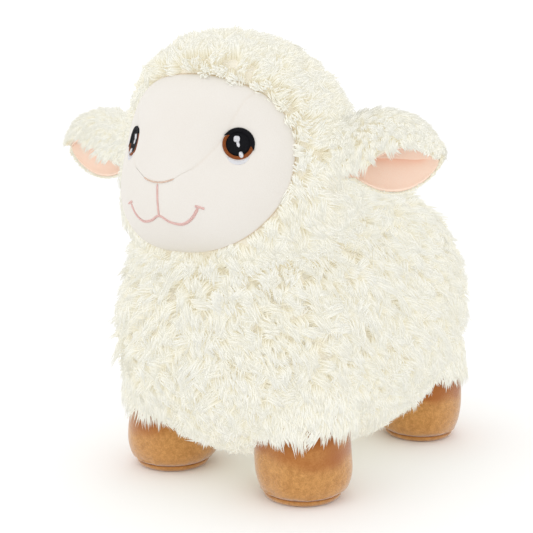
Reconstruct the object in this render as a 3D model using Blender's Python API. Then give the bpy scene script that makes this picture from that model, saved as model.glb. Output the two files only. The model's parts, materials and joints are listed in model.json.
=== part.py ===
# A standing plush sheep, built as sewn covers over stuffing.
# It faces -Y, its left side is +X, and its soles stand on Z = 0.
# Lengths are in metres and angles in degrees.
# The fleece covers are as thick as their pile, so their outside is where the curls end.

import math

import bmesh
import bpy
import numpy as np

# Trunk, measured to the ends of the pile
TRUNK_HALF_WIDTH = 0.087
TRUNK_HALF_LENGTH = 0.132
TRUNK_UPPER_HEIGHT = 0.084
TRUNK_LOWER_HEIGHT = 0.0825
BELLY_CLEARANCE = 0.006
TRUNK_FORWARD = 0.0127
TRUNK_FLEECE = 0.0085
LOCK_DEPTH = 0.0038
LOCK_FADE = 0.012
BELLY_PANEL_HALF_WIDTH = 0.034
BELLY_PANEL_HALF_LENGTH = 0.112

# Head ball, measured to the ends of the pile, and the skin of the smooth face
HEAD_RADIUS = 0.0705
HEAD_FORWARD_SHARE = 0.518
HEAD_UP_SHARE = 1.101
PILE_SHARE = 0.149
JOWL_SWELL = 0.0075
JOWL_DROP_ANGLE = 32.0
JOWL_SPREAD_ANGLE = 24.0
SKIN_THICKNESS = 0.0022
FACE_WIDTH_SHARE = 0.8014
FACE_HEIGHT_SHARE = 0.6567
FACE_HALF_WIDTH = FACE_WIDTH_SHARE * HEAD_RADIUS
FACE_HALF_HEIGHT = FACE_HEIGHT_SHARE * HEAD_RADIUS
FACE_CORNER_POWER = 2.3
FLEECE_RIM = 0.013
NECK_HOLE_RADIUS = 0.022
NECK_RADIUS = 0.026
NECK_THICKNESS = 0.009

# Eyes
EYE_SIDE_ANGLE = 40.4
EYE_RISE_ANGLE = 11.2
EYE_SOCKET_DEPTH = 0.006
EYE_SOCKET_ANGLE = 18.0
EYE_RADIUS = 0.0084
PUPIL_SHARE = 0.72
LASH_SHARES = (1.02, 1.06)
LASH_ANGLES = (-26.0, -14.0, 134.0, 147.0)
UNDER_EYE_SHARES = (1.05, 1.19)
UNDER_EYE_ANGLES = (232.0, 304.0)
THREAD = 0.0008

# Nose and mouth threads
NOSE_HALF_WIDTH = 0.0100
NOSE_DROP = 0.0087
NOSE_CORNER_DROP = 0.0066
NOSE_THREAD_WIDTH = 0.0019
MOUTH_DROP = 0.0256
MOUTH_HALF_WIDTH = 0.0205
MOUTH_DEPTH = 0.008
MOUTH_THREAD_WIDTH = 0.0016

# Ears, from the pinched root to the tip of the leaf
EAR_LENGTH = 0.047
EAR_HALF_HEIGHT = 0.0168
EAR_HALF_DEPTH = 0.0072
EAR_FLEECE = 0.0072
EAR_TIP_FLEECE = 0.0048
EAR_LINING = 0.0016
EAR_ROOT_RADIUS = 0.010
EAR_RISE_ANGLE = 2.8
EAR_BACK_ANGLE = 89.5
EAR_STAND_OFF = 0.0065
EAR_ROOT_PROUD = 0.001
EAR_LOWER_LIP_ANGLE = -80.0
EAR_UPPER_LIP_ANGLE = 155.0
EAR_LIP_FADE_ANGLE = 65.0

# Legs, from the flat sole to the rounded hip
LEG_RADIUS = 0.0265
SOLE_RADIUS = 0.0185
SOLE_SEAM_RADIUS = 0.0215
SOLE_SEAM_HEIGHT = 0.0035
SOLE_THICKNESS = 0.002
LEG_SWELL_HEIGHT = 0.018
HIP_HEIGHT = 0.048
HIP_RADIUS = 0.024
LEG_WALL = 0.0022
LEG_TURNING_HOLE = 0.010
LEG_SWING_ANGLE = 10.0
LEG_SIDE_SHARE = 0.5345
FRONT_LEG_SHARE = -0.513
REAR_LEG_SHARE = 0.508

# Tail
TAIL_HALF_WIDTH = 0.011
TAIL_HALF_THICKNESS = 0.0095
TAIL_HALF_LENGTH = 0.013
TAIL_FLEECE = 0.0045
TAIL_ROOT_RADIUS = 0.007
TAIL_STAND_OFF = 0.006
TAIL_NECK_LENGTH = 0.002
TAIL_RISE_SHARE = 0.30
TAIL_HANG_ANGLE = 25.0

# Clearances
SEAM_GAP = 0.0003
SWIVEL_GAP = 0.0007
OVERRUN = 0.1

# Facets
TRUNK_COLUMNS = 24
TRUNK_ROWS = 12
LOCK_SQUARES = 18
PANEL_COLUMNS = 36
HEAD_COLUMNS = 28
SEAT_COLUMNS = 24
SEAT_ROWS = 14
LEG_COLUMNS = 14
NECK_COLUMNS = 24
ROOT_COLUMNS = 16
ROOT_ROWS = 8
SWEEP_ROWS = 5

# Shapes drawn as shares of the sizes above
TRUNK_PLAN_POWER = 2.2
TRUNK_SIDE_POWER = 2.25
FACE_RING_SHARES = (0.17, 0.34, 0.51, 0.68, 0.84, 1.0)
HOOD_RING_SHARES = (1.0, 1.07, 1.19, 1.34, 1.5, 1.66, 1.83)
RIM_PILE_SHARES = (0.35, 0.85)
RIM_BROW_SHARE = 0.4
SMILE_SHARES = ((0.0, 0.0), (0.28, -0.35), (0.59, -0.46), (0.83, -0.09), (0.98, 0.48), (1.0, 0.75))
GLINT_SHARES = ((-0.28, 0.50), (0.05, 0.50), (0.12, 0.20), (0.10, -0.10), (-0.08, -0.02),
                (-0.12, 0.15), (-0.30, 0.22))
GUSSET_SHARES = ((0.373, 0.01), (0.49, 0.26), (0.567, 0.50), (0.627, 0.70), (0.69, 0.84), (0.8, 1.3))
EAR_BELLY_SHARE = 0.42
EAR_NECK_SHARE = 0.62
EAR_TIP_POWER = 0.7
EAR_PINCH_SHARE = 0.45
EAR_LIP_SHARE = 0.15
EAR_STATION_SHARES = (-0.08, 0.0, 0.16, 0.32, 0.5, 0.68, 0.83, 0.93, 0.985)

# Places worked out from the sizes
TRUNK_LEVEL = BELLY_CLEARANCE + TRUNK_LOWER_HEIGHT
TRUNK_CENTRE = np.array([0.0, -TRUNK_FORWARD, TRUNK_LEVEL])
HEAD_CENTRE = TRUNK_CENTRE + np.array([0.0, -HEAD_FORWARD_SHARE * TRUNK_HALF_LENGTH,
                                       HEAD_UP_SHARE * TRUNK_UPPER_HEIGHT])
SKIN_RADIUS = HEAD_RADIUS * (1.0 - PILE_SHARE)


def clear_scene():
    for thing in list(bpy.data.objects):
        bpy.data.objects.remove(thing, do_unlink=True)


def make_material(name, colour, roughness):
    material = bpy.data.materials.new(name)
    material.use_nodes = True
    shader = material.node_tree.nodes["Principled BSDF"]
    shader.inputs["Base Color"].default_value = (*colour, 1.0)
    shader.inputs["Roughness"].default_value = roughness
    shader.inputs["Metallic"].default_value = 0.0
    return material


def direction(side_angle, rise_angle):
    # Unit vector: side angle is turned from -Y towards +X, rise angle is up from level.
    side, rise = math.radians(side_angle), math.radians(rise_angle)
    return np.array([math.sin(side) * math.cos(rise), -math.cos(side) * math.cos(rise), math.sin(rise)])


def smooth_path(points, steps):
    # A Catmull-Rom curve through the points, with the end points doubled.
    points = np.array(points, float)
    padded = np.vstack([2 * points[0] - points[1], points, 2 * points[-1] - points[-2]])
    path = []
    for i in range(len(points) - 1):
        a, b, c, d = padded[i:i + 4]
        for k in range(steps):
            t = k / steps
            path.append(0.5 * (2 * b + (c - a) * t + (2 * a - 5 * b + 4 * c - d) * t ** 2
                               + (3 * b - a - 3 * c + d) * t ** 3))
    path.append(points[-1])
    return np.array(path)


def new_object(name, vertices, faces, material=None):
    mesh = bpy.data.meshes.new(name)
    mesh.from_pydata([tuple(v) for v in vertices], [], [tuple(f) for f in faces])
    work = bmesh.new()
    work.from_mesh(mesh)
    bmesh.ops.recalc_face_normals(work, faces=work.faces)
    work.to_mesh(mesh)
    work.free()
    if material is None:
        thing = bpy.data.objects.new(name, mesh)
        thing.hide_render = True
        thing.display_type = "WIRE"
    else:
        mesh.materials.append(material)
        mesh.shade_smooth()
        mesh.set_sharp_from_angle(angle=math.radians(40.0))
        thing = bpy.data.objects.new(name, mesh)
    bpy.context.scene.collection.objects.link(thing)
    return thing


def boolean(thing, other, operation):
    step = thing.modifiers.new(other.name, "BOOLEAN")
    step.operation = operation
    step.solver = "EXACT"
    step.object = other
    return thing


def subtract(thing, *others):
    for other in others:
        boolean(thing, other, "DIFFERENCE")
    return thing


def ring_faces(rows, columns, wrap_rows=False, turned_from=None):
    # Triangle pairs between neighbouring rings, split alike so that nested forms stay parallel.
    # Rows from turned_from on run back over earlier ones, so their split is turned over.
    faces = []
    for i in range(rows if wrap_rows else rows - 1):
        turned = turned_from is not None and i >= turned_from
        for j in range(columns):
            k = (j + 1) % columns
            m = (i + 1) % rows
            near, far = (i * columns + j, i * columns + k), (m * columns + j, m * columns + k)
            if turned:
                faces += [(near[0], near[1], far[0]), (near[1], far[1], far[0])]
            else:
                faces += [(near[0], near[1], far[1]), (near[0], far[1], far[0])]
    return faces


def skin_over(rings, start_tip=None, end_tip=None, turned_from=None):
    # A closed skin over the rings. Each end closes on its tip, or flat where it has none.
    rings = np.array(rings, float)
    rows, columns = rings.shape[:2]
    vertices = rings.reshape(-1, 3)
    faces = ring_faces(rows, columns, turned_from=turned_from)
    for first, tip in ((0, start_tip), ((rows - 1) * columns, end_tip)):
        if tip is None:
            faces.append(tuple(range(first, first + columns)))
        else:
            vertices = np.vstack([vertices, tip])
            faces += [(first + j, first + (j + 1) % columns, len(vertices) - 1) for j in range(columns)]
    return vertices, faces


def lathe(profile, columns, centre):
    # Turns (radius, height) points about the vertical through the centre.
    # A radius of zero at both ends closes it; otherwise the profile is itself a closed loop.
    turn = 2 * math.pi * np.arange(columns) / columns
    rings = [np.stack([r * np.sin(turn), -r * np.cos(turn), np.full(columns, z)], 1) + centre
             for r, z in profile if r > 0.0]
    if profile[0][0] > 0.0:
        return np.concatenate(rings), ring_faces(len(rings), columns, wrap_rows=True)
    return skin_over(rings, *[np.array(centre) + (0.0, 0.0, z) for z in (profile[0][1], profile[-1][1])])


def globe_grid(columns, rows):
    # Rings of unit vectors from the bottom to the top, without the poles.
    rise = math.pi * (np.arange(1, rows) / rows - 0.5)
    turn = 2 * math.pi * np.arange(columns) / columns
    rise, turn = np.meshgrid(rise, turn, indexing="ij")
    return np.stack([np.cos(rise) * np.sin(turn), -np.cos(rise) * np.cos(turn), np.sin(rise)], 2)


def trunk_points(units, inset):
    # An egg, squarer than an ellipsoid, with its own heights above and below its widest level.
    level = np.maximum(np.hypot(units[..., 0], units[..., 1]), 1e-9)[..., None]
    square = (np.abs(units[..., :2] / level) ** TRUNK_PLAN_POWER).sum(-1, keepdims=True)
    plan = units[..., :2] * np.maximum(square, 1e-9) ** (-1.0 / TRUNK_PLAN_POWER)
    side = level ** TRUNK_SIDE_POWER + np.abs(units[..., 2:]) ** TRUNK_SIDE_POWER
    height = np.where(units[..., 2:] > 0, TRUNK_UPPER_HEIGHT, TRUNK_LOWER_HEIGHT) - inset
    points = np.concatenate([plan * (TRUNK_HALF_WIDTH - inset, TRUNK_HALF_LENGTH - inset),
                             units[..., 2:] * height], -1) * side ** (-1.0 / TRUNK_SIDE_POWER)
    return points + TRUNK_CENTRE


def trunk_form(name, inset, material=None):
    points = trunk_points(globe_grid(TRUNK_COLUMNS, TRUNK_ROWS), inset)
    poles = [TRUNK_CENTRE + (0.0, 0.0, z) for z in (inset - TRUNK_LOWER_HEIGHT, TRUNK_UPPER_HEIGHT - inset)]
    return new_object(name, *skin_over(points, *poles), material)


def lock_grid():
    # Unit vectors over the six sides of a cube and the triangles that join them. Crests and grooves
    # alternate from point to point, and each square is split along its grooves.
    count = np.arange(LOCK_SQUARES + 1)
    step = np.tan(math.pi / 4 * (2 * count / LOCK_SQUARES - 1))
    across, up = np.meshgrid(step, step, indexing="ij")
    groove = np.add.outer(count, count) % 2
    units, faces = [], []
    for axis in range(3):
        for way in (-1.0, 1.0):
            start = 2 * axis * across.size + (way > 0) * across.size
            units.append(np.roll(np.stack([np.full_like(across, way), way * across, up], 2), axis, 2))
            for i in range(LOCK_SQUARES):
                for j in range(LOCK_SQUARES):
                    a = start + i * len(count) + j
                    b, c, d = a + len(count), a + len(count) + 1, a + 1
                    faces += [(a, b, c), (a, c, d)] if groove[i, j] else [(b, c, d), (b, d, a)]
    units = np.reshape(units, (-1, 3))
    units = units / np.linalg.norm(units, axis=1)[:, None]
    _, first, joined = np.unique(np.round(units, 6) + 0.0, axis=0, return_index=True, return_inverse=True)
    return units[first], joined.ravel()[np.array(faces)], np.tile(groove.ravel(), 6)[first]


def trunk_fleece_form(name, material):
    # The trunk with lumps like its locks. They level out at the seat, hips and tail, and underneath.
    units, faces, groove = lock_grid()
    crest, floor = trunk_points(units, 0.0), trunk_points(units, LOCK_DEPTH)
    calm = [(place, LEG_RADIUS) for place in leg_places().values()]
    calm += [(HEAD_CENTRE, HEAD_RADIUS), (tail_root(), TAIL_ROOT_RADIUS)]
    room = np.min([np.linalg.norm(crest - place, axis=1) - radius for place, radius in calm], 0)
    share = groove * np.clip(np.minimum(room, crest[:, 2] - HIP_HEIGHT / 2) / LOCK_FADE, 0, 1)
    return new_object(name, crest + share[:, None] * (floor - crest), faces, material)


def skin_radius(unit):
    # The face swells into a jowl low at the front and sinks a little at each eye.
    front = np.sqrt(np.clip(-unit[..., 1] / np.maximum(np.hypot(unit[..., 0], unit[..., 1]), 1e-9), 0, 1))
    rise = np.degrees(np.arcsin(np.clip(unit[..., 2], -1, 1)))
    radius = SKIN_RADIUS + JOWL_SWELL * front * np.exp(-((rise + JOWL_DROP_ANGLE) / JOWL_SPREAD_ANGLE) ** 2)
    for side in (-1, 1):
        eye = direction(side * EYE_SIDE_ANGLE, EYE_RISE_ANGLE)
        away = np.degrees(np.arccos(np.clip(unit @ eye, -1, 1)))
        radius = radius - EYE_SOCKET_DEPTH * np.exp(-(away / EYE_SOCKET_ANGLE) ** 2)
    return radius


def head_ring(share, margin=0.0):
    # Unit vectors round the face. Share 0 is straight ahead, 1 the face's seam and 2 straight behind.
    roll = 2 * math.pi * np.arange(HEAD_COLUMNS) / HEAD_COLUMNS
    across, up = np.cos(roll), np.sin(roll)
    reach = (np.abs(across / FACE_HALF_WIDTH) ** FACE_CORNER_POWER
             + np.abs(up / FACE_HALF_HEIGHT) ** FACE_CORNER_POWER) ** (-1.0 / FACE_CORNER_POWER)

    def unit(angle):
        return np.stack([np.sin(angle) * across, -np.cos(angle), np.sin(angle) * up], 1)

    seam = np.arcsin(np.minimum(reach / SKIN_RADIUS, 0.99))
    for _ in range(4):
        seam = np.arcsin(np.minimum(reach / skin_radius(unit(seam)), 0.99))
    edge = seam + margin / SKIN_RADIUS
    angle = edge * share if share <= 1 else edge + (math.pi - edge) * (share - 1)
    return unit(angle), (angle - seam) * SKIN_RADIUS


def skin_points(shares, inset, margin=0.0):
    rings = [head_ring(share, margin)[0] for share in shares]
    return [ring * (skin_radius(ring) - inset)[:, None] + HEAD_CENTRE for ring in rings]


def skin_tip(way, inset):
    tip = np.array([0.0, way, 0.0])
    return tip * (skin_radius(tip) - inset) + HEAD_CENTRE


def skin_form(name, inset, material=None):
    points = skin_points(FACE_RING_SHARES + HOOD_RING_SHARES[1:], inset)
    return new_object(name, *skin_over(points, skin_tip(-1, inset), skin_tip(1, inset)), material)


def face_form(name, material):
    # The face's skin as far as its seam, with its own thickness.
    outer = skin_points(FACE_RING_SHARES, 0.0, -SEAM_GAP)
    inner = skin_points(FACE_RING_SHARES[::-1], SKIN_THICKNESS, -SEAM_GAP)
    tips = skin_tip(-1, 0.0), skin_tip(-1, SKIN_THICKNESS)
    return new_object(name, *skin_over(outer + inner, *tips, turned_from=len(outer)), material)


def hood_form(name, material):
    # The fleece starts low at the cheeks' seam, higher at the brow, and rises to the full radius.
    outer = []
    for share in HOOD_RING_SHARES[::-1]:
        unit, away = head_ring(share)
        t = np.clip(away / FLEECE_RIM, 0, 1)
        low, high = RIM_PILE_SHARES
        rim = low + (high - low) * np.clip(unit[:, 2] / RIM_BROW_SHARE, 0, 1)
        rise = rim + (1 - rim) * t * t * (3 - 2 * t)
        skin = skin_radius(unit)
        outer.append(unit * (skin + (HEAD_RADIUS - skin) * rise)[:, None] + HEAD_CENTRE)
    inner = skin_points(HOOD_RING_SHARES, SKIN_THICKNESS)
    tips = HEAD_CENTRE + (0.0, HEAD_RADIUS, 0.0), skin_tip(1, SKIN_THICKNESS)
    return new_object(name, *skin_over(outer + inner, *tips), material)


def ball(name, radius, centre, columns, rows, material=None):
    points = globe_grid(columns, rows) * radius + centre
    poles = [np.array(centre) + (0.0, 0.0, z) for z in (-radius, radius)]
    return new_object(name, *skin_over(points, *poles), material)


def facet_room(radius, columns, rows):
    # The radius whose facets, and not only its corners, stay outside the given radius.
    return radius / (math.cos(math.pi / columns) * math.cos(math.pi / (2 * rows)))


def prism(name, outline, centre, across, up, near, far, material=None):
    # The flat outline, in (across, up), carried from near to far along the third axis.
    outline = np.array(outline, float)
    across, up = np.array(across, float), np.array(up, float)
    along = np.cross(across, up)
    flat = np.array(centre) + outline[:, :1] * across + outline[:, 1:] * up
    return new_object(name, *skin_over([flat + along * near, flat + along * far]), material)


def front_prism(name, outline, reach=OVERRUN, start=0.0):
    # A prism seen from the front of the head: across is +X, up is +Z, and it runs towards -Y.
    return prism(name, outline, HEAD_CENTRE, (1, 0, 0), (0, 0, 1), start, reach)


def half_space(name, side, centre):
    # A block that fills one side of the middle plane, and half a seam gap of the other.
    edge = -side * SEAM_GAP / 2
    far = side * OVERRUN * 2
    reach = OVERRUN * 2
    outline = [(edge, -reach), (far, -reach), (far, reach), (edge, reach)]
    return prism(name, outline, centre, (1, 0, 0), (0, 0, 1), -reach, reach)


def stroke(path, width):
    # The outline of a thread of even width along a flat path.
    path = np.array(path, float)
    heading = np.gradient(path, axis=0)
    heading /= np.linalg.norm(heading, axis=1)[:, None]
    normal = np.stack([-heading[:, 1], heading[:, 0]], 1)
    return np.vstack([path + normal * width / 2, (path - normal * width / 2)[::-1]])


def gusset_outline(margin):
    # The forehead panel: narrow at the nose, wide at the brow, running on past the face window.
    corner = [(NOSE_HALF_WIDTH + margin, -NOSE_CORNER_DROP - margin)]
    side = [(a * FACE_HALF_WIDTH + margin, b * FACE_HALF_HEIGHT) for a, b in GUSSET_SHARES]
    right = corner + side
    left = [(-a, b) for a, b in reversed(right)]
    return right + left + [(0.0, -NOSE_DROP - margin)]


def trunk_pieces(materials, seat, envelopes, tail_socket):
    inner = trunk_form("trunk_lining_guide", TRUNK_FLEECE)
    panel_turn = 2 * math.pi * np.arange(PANEL_COLUMNS) / PANEL_COLUMNS
    oval = np.stack([np.cos(panel_turn), np.sin(panel_turn)], 1)
    panel_size = np.array([BELLY_PANEL_HALF_WIDTH, BELLY_PANEL_HALF_LENGTH])
    down = {"across": (1, 0, 0), "up": (0, -1, 0), "near": 0.0, "far": TRUNK_LEVEL}
    panel = prism("belly_panel_guide", oval * (panel_size - SEAM_GAP), TRUNK_CENTRE, **down)
    hole = prism("belly_hole_guide", oval * panel_size, TRUNK_CENTRE, **down)
    for side, word in ((1, "left"), (-1, "right")):
        cover = trunk_fleece_form("trunk_cover_" + word, materials["fleece"])
        other = half_space("trunk_half_guide_" + word, -side, TRUNK_CENTRE)
        subtract(cover, inner, other, hole, seat, *envelopes, tail_socket)
    belly = boolean(trunk_form("belly_panel", 0.0, materials["fleece"]), panel, "INTERSECT")
    subtract(belly, inner, *envelopes)
    stuffing = trunk_form("trunk_stuffing", TRUNK_FLEECE + SEAM_GAP, materials["stuffing"])
    subtract(stuffing, seat, *envelopes, neck_recess(), tail_socket)


def neck_profile(margin):
    # A round pad: dished top, straight wall and flat underside, about the head's turning axis.
    seat_radius = facet_room(HEAD_RADIUS + SWIVEL_GAP, SEAT_COLUMNS, SEAT_ROWS) - margin
    radius = NECK_RADIUS + margin
    steps = np.linspace(0.0, math.asin(radius / seat_radius), 5)
    top = [(seat_radius * math.sin(a), -seat_radius * math.cos(a)) for a in steps]
    floor = -seat_radius - NECK_THICKNESS - margin
    return top + [(radius, floor), (0.0, floor)]


def neck_recess():
    return new_object("neck_recess_guide", *lathe(neck_profile(SWIVEL_GAP), NECK_COLUMNS, HEAD_CENTRE))


def neck_piece(materials):
    new_object("neck_stuffing", *lathe(neck_profile(0.0), NECK_COLUMNS, HEAD_CENTRE), materials["stuffing"])


def head_pieces(materials, sockets):
    turn = 2 * math.pi * np.arange(LEG_COLUMNS) / LEG_COLUMNS
    circle = np.stack([np.cos(turn), np.sin(turn)], 1) * NECK_HOLE_RADIUS
    hole = prism("neck_hole_guide", circle, HEAD_CENTRE, (1, 0, 0), (0, -1, 0), 0.0, OVERRUN)
    gusset_hole = front_prism("gusset_hole_guide", gusset_outline(SEAM_GAP))
    gusset_shape = front_prism("gusset_shape_guide", gusset_outline(0.0))
    for side, word in ((1, "left"), (-1, "right")):
        other = half_space("head_half_guide_" + word, -side, HEAD_CENTRE)
        subtract(hood_form("hood_" + word, materials["fleece"]), other, hole, sockets[side])
        subtract(face_form("face_cheek_" + word, materials["face"]), gusset_hole, other)
    boolean(face_form("face_forehead", materials["face"]), gusset_shape, "INTERSECT")
    stuffing = skin_form("head_stuffing", SKIN_THICKNESS + SEAM_GAP, materials["stuffing"])
    radius = (NECK_HOLE_RADIUS - SEAM_GAP) * math.cos(math.pi / LEG_COLUMNS)
    steps = np.linspace(0.0, math.asin(radius / HEAD_RADIUS), 4)
    plug = [(HEAD_RADIUS * math.sin(a), -HEAD_RADIUS * math.cos(a)) for a in steps]
    plug += [(radius, -NECK_HOLE_RADIUS), (0.0, -NECK_HOLE_RADIUS)]
    boolean(stuffing, new_object("head_plug_guide", *lathe(plug, LEG_COLUMNS, HEAD_CENTRE)), "UNION")


def thread_forms():
    # The skin raised by the clearance and by the thread, for two layers of stitches.
    heights = [SEAM_GAP, SEAM_GAP + THREAD, 2 * SEAM_GAP + THREAD, 2 * SEAM_GAP + 2 * THREAD]
    return [skin_form("thread_guide_%d" % i, -height) for i, height in enumerate(heights)]


def stitch(thing, low, high):
    boolean(thing, high, "INTERSECT")
    return subtract(thing, low)


def arc(start, end, radius, steps):
    turn = np.radians(np.linspace(start, end, steps))
    return np.stack([np.cos(turn), np.sin(turn)], 1) * radius


def pupil_outline():
    # A disc whose upper outer side runs out into the thick lash, which has two thin tips.
    low_tip, low_root, high_root, high_tip = LASH_ANGLES
    lash_in, lash_out = [share * EYE_RADIUS for share in LASH_SHARES]
    return np.vstack([arc(low_tip, high_tip, lash_out, 14), arc(high_tip, high_root, lash_in, 2),
                      arc(high_root, low_root + 360.0, PUPIL_SHARE * EYE_RADIUS, 14),
                      arc(low_root, low_tip, lash_in, 2)])


def crescent(start, end, inner, outer, steps):
    return np.vstack([arc(start, end, outer, steps), arc(end, start, inner, steps)])


def eye_pieces(materials, forms):
    pupil_radius = PUPIL_SHARE * EYE_RADIUS
    margin = math.degrees(SEAM_GAP / pupil_radius)
    iris_ends = LASH_ANGLES[2] + margin, LASH_ANGLES[1] + 360.0 - margin
    for side, word in ((1, "left"), (-1, "right")):
        look = direction(side * EYE_SIDE_ANGLE, EYE_RISE_ANGLE)
        outward = np.cross([0.0, 0.0, 1.0], look) * side
        outward /= np.linalg.norm(outward)
        up = np.cross(look, outward) * side
        shapes = {
            "eye_pupil_": (pupil_outline(), "black_thread", 0),
            "eye_iris_": (crescent(*iris_ends, pupil_radius + SEAM_GAP, EYE_RADIUS, 14), "brown_thread", 0),
            "eye_under_": (crescent(*UNDER_EYE_ANGLES, *[s * EYE_RADIUS for s in UNDER_EYE_SHARES], 6),
                           "white_thread", 0),
            "eye_glint_": (np.array(GLINT_SHARES) * EYE_RADIUS, "white_thread", 2),
        }
        for name, (outline, finish, layer) in shapes.items():
            piece = prism(name + word, outline, HEAD_CENTRE, outward, up,
                          0.0, side * OVERRUN, materials[finish])
            stitch(piece, forms[layer], forms[layer + 1])


def nose_and_mouth(materials, forms):
    t = np.linspace(-1.0, 1.0, 8)
    nose_path = np.stack([t * NOSE_HALF_WIDTH, (NOSE_DROP - NOSE_CORNER_DROP) * t ** 2 - NOSE_DROP], 1)
    half = [(a * MOUTH_HALF_WIDTH, b * MOUTH_DEPTH - MOUTH_DROP) for a, b in SMILE_SHARES]
    whole = [(-a, b) for a, b in reversed(half[1:])] + half
    smile = prism("mouth_stitch", stroke(smooth_path(whole, 2), MOUTH_THREAD_WIDTH), HEAD_CENTRE,
                  (1, 0, 0), (0, 0, 1), 0.0, OVERRUN, materials["pink_thread"])
    top = -NOSE_DROP - NOSE_THREAD_WIDTH / 2 - SEAM_GAP
    line = [(0.0, top), (0.0, -MOUTH_DROP)]
    boolean(smile, front_prism("philtrum_guide", stroke(line, MOUTH_THREAD_WIDTH)), "UNION")
    stitch(smile, forms[0], forms[1])
    nose = prism("nose_stitch", stroke(nose_path, NOSE_THREAD_WIDTH), HEAD_CENTRE,
                 (1, 0, 0), (0, 0, 1), 0.0, OVERRUN, materials["pink_thread"])
    stitch(nose, forms[0], forms[1])


def ear_root(side):
    look = direction(side * EAR_BACK_ANGLE, EAR_RISE_ANGLE)
    return HEAD_CENTRE + look * (HEAD_RADIUS + EAR_ROOT_PROUD)


def ear_rings(side, near, far, tip_extra, stations):
    # Curled sections along the ear: a band between two ovals, open towards the front and below.
    # Its outer offset thins out at the lower lip.
    root = ear_root(side)
    turn = np.radians(np.linspace(EAR_LOWER_LIP_ANGLE, EAR_UPPER_LIP_ANGLE, 8))
    rings = []
    for s in stations:
        if s < 0:
            size = EAR_NECK_SHARE * EAR_PINCH_SHARE
        elif s < EAR_BELLY_SHARE:
            size = 1.0 - (1.0 - EAR_NECK_SHARE) * ((EAR_BELLY_SHARE - s) / EAR_BELLY_SHARE) ** 2
        else:
            size = (1.0 - ((s - EAR_BELLY_SHARE) / (1.0 - EAR_BELLY_SHARE)) ** 2) ** EAR_TIP_POWER
        pinch = EAR_PINCH_SHARE if s < 0 else 1.0
        loop = []
        fade = np.clip((turn - turn[0]) / math.radians(EAR_LIP_FADE_ANGLE), 0, 1)
        outer = far * pinch * (EAR_LIP_SHARE + (1 - EAR_LIP_SHARE) * fade)
        inner = np.full(len(turn), near)
        for offsets, order, extra in ((outer, turn, tip_extra), (inner, turn[::-1], 0.0)):
            out = EAR_STAND_OFF + EAR_LENGTH * s + extra * s ** 4
            deep = EAR_HALF_DEPTH * size + offsets
            tall = EAR_HALF_HEIGHT * size + offsets
            spread = np.stack([np.full(len(order), side * out), deep * np.cos(order), tall * np.sin(order)], 1)
            loop.extend(root + spread)
        rings.append(loop)
    return rings


def ear_pieces(materials):
    for side, word in ((1, "left"), (-1, "right")):
        band = ear_rings(side, SEAM_GAP, EAR_FLEECE, EAR_TIP_FLEECE, EAR_STATION_SHARES)
        back = new_object("ear_back_" + word, *skin_over(band), materials["fleece"])
        root = ball("ear_root_guide_" + word, EAR_ROOT_RADIUS, ear_root(side), ROOT_COLUMNS, ROOT_ROWS)
        boolean(back, root, "UNION")
        band = ear_rings(side, -EAR_LINING, 0.0, 0.0, EAR_STATION_SHARES[2:-1])
        lining = new_object("ear_lining_" + word, *skin_over(band), materials["lining"])
        clear = ball("ear_clear_guide_" + word, EAR_ROOT_RADIUS + SEAM_GAP, ear_root(side),
                     ROOT_COLUMNS, ROOT_ROWS)
        subtract(lining, clear)


def ear_sockets():
    radius = facet_room(EAR_ROOT_RADIUS + SEAM_GAP, ROOT_COLUMNS, ROOT_ROWS)
    return {side: ball("ear_socket_guide_%d" % side, radius, ear_root(side), ROOT_COLUMNS, ROOT_ROWS)
            for side in (1, -1)}


def leg_side(inset):
    # From the sole seam, out to the swell, in to the hip and over the dome to its turning hole.
    low = [(SOLE_SEAM_RADIUS + (LEG_RADIUS - SOLE_SEAM_RADIUS) * math.sin(math.radians(a)),
            SOLE_SEAM_HEIGHT + (LEG_SWELL_HEIGHT - SOLE_SEAM_HEIGHT) * (1 - math.cos(math.radians(a))))
           for a in (0, 48, 90)]
    high = [(LEG_RADIUS - (LEG_RADIUS - HIP_RADIUS) * (1 - math.cos(math.radians(a))),
             LEG_SWELL_HEIGHT + (HIP_HEIGHT - LEG_SWELL_HEIGHT) * a / 90) for a in (90,)]
    side = [(r - inset, z) for r, z in low + high]
    last = math.degrees(math.acos(LEG_TURNING_HOLE / HIP_RADIUS))
    return side + [((HIP_RADIUS - inset) * math.cos(math.radians(a)),
                    HIP_HEIGHT + (HIP_RADIUS - inset) * math.sin(math.radians(a)))
                   for a in (last / 2, last)]


def leg_places():
    x = LEG_SIDE_SHARE * TRUNK_HALF_WIDTH
    front = TRUNK_CENTRE[1] + FRONT_LEG_SHARE * TRUNK_HALF_LENGTH
    rear = TRUNK_CENTRE[1] + REAR_LEG_SHARE * TRUNK_HALF_LENGTH
    return {"front_left": (x, front, 0.0), "front_right": (-x, front, 0.0),
            "rear_left": (x, rear, 0.0), "rear_right": (-x, rear, 0.0)}


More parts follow.
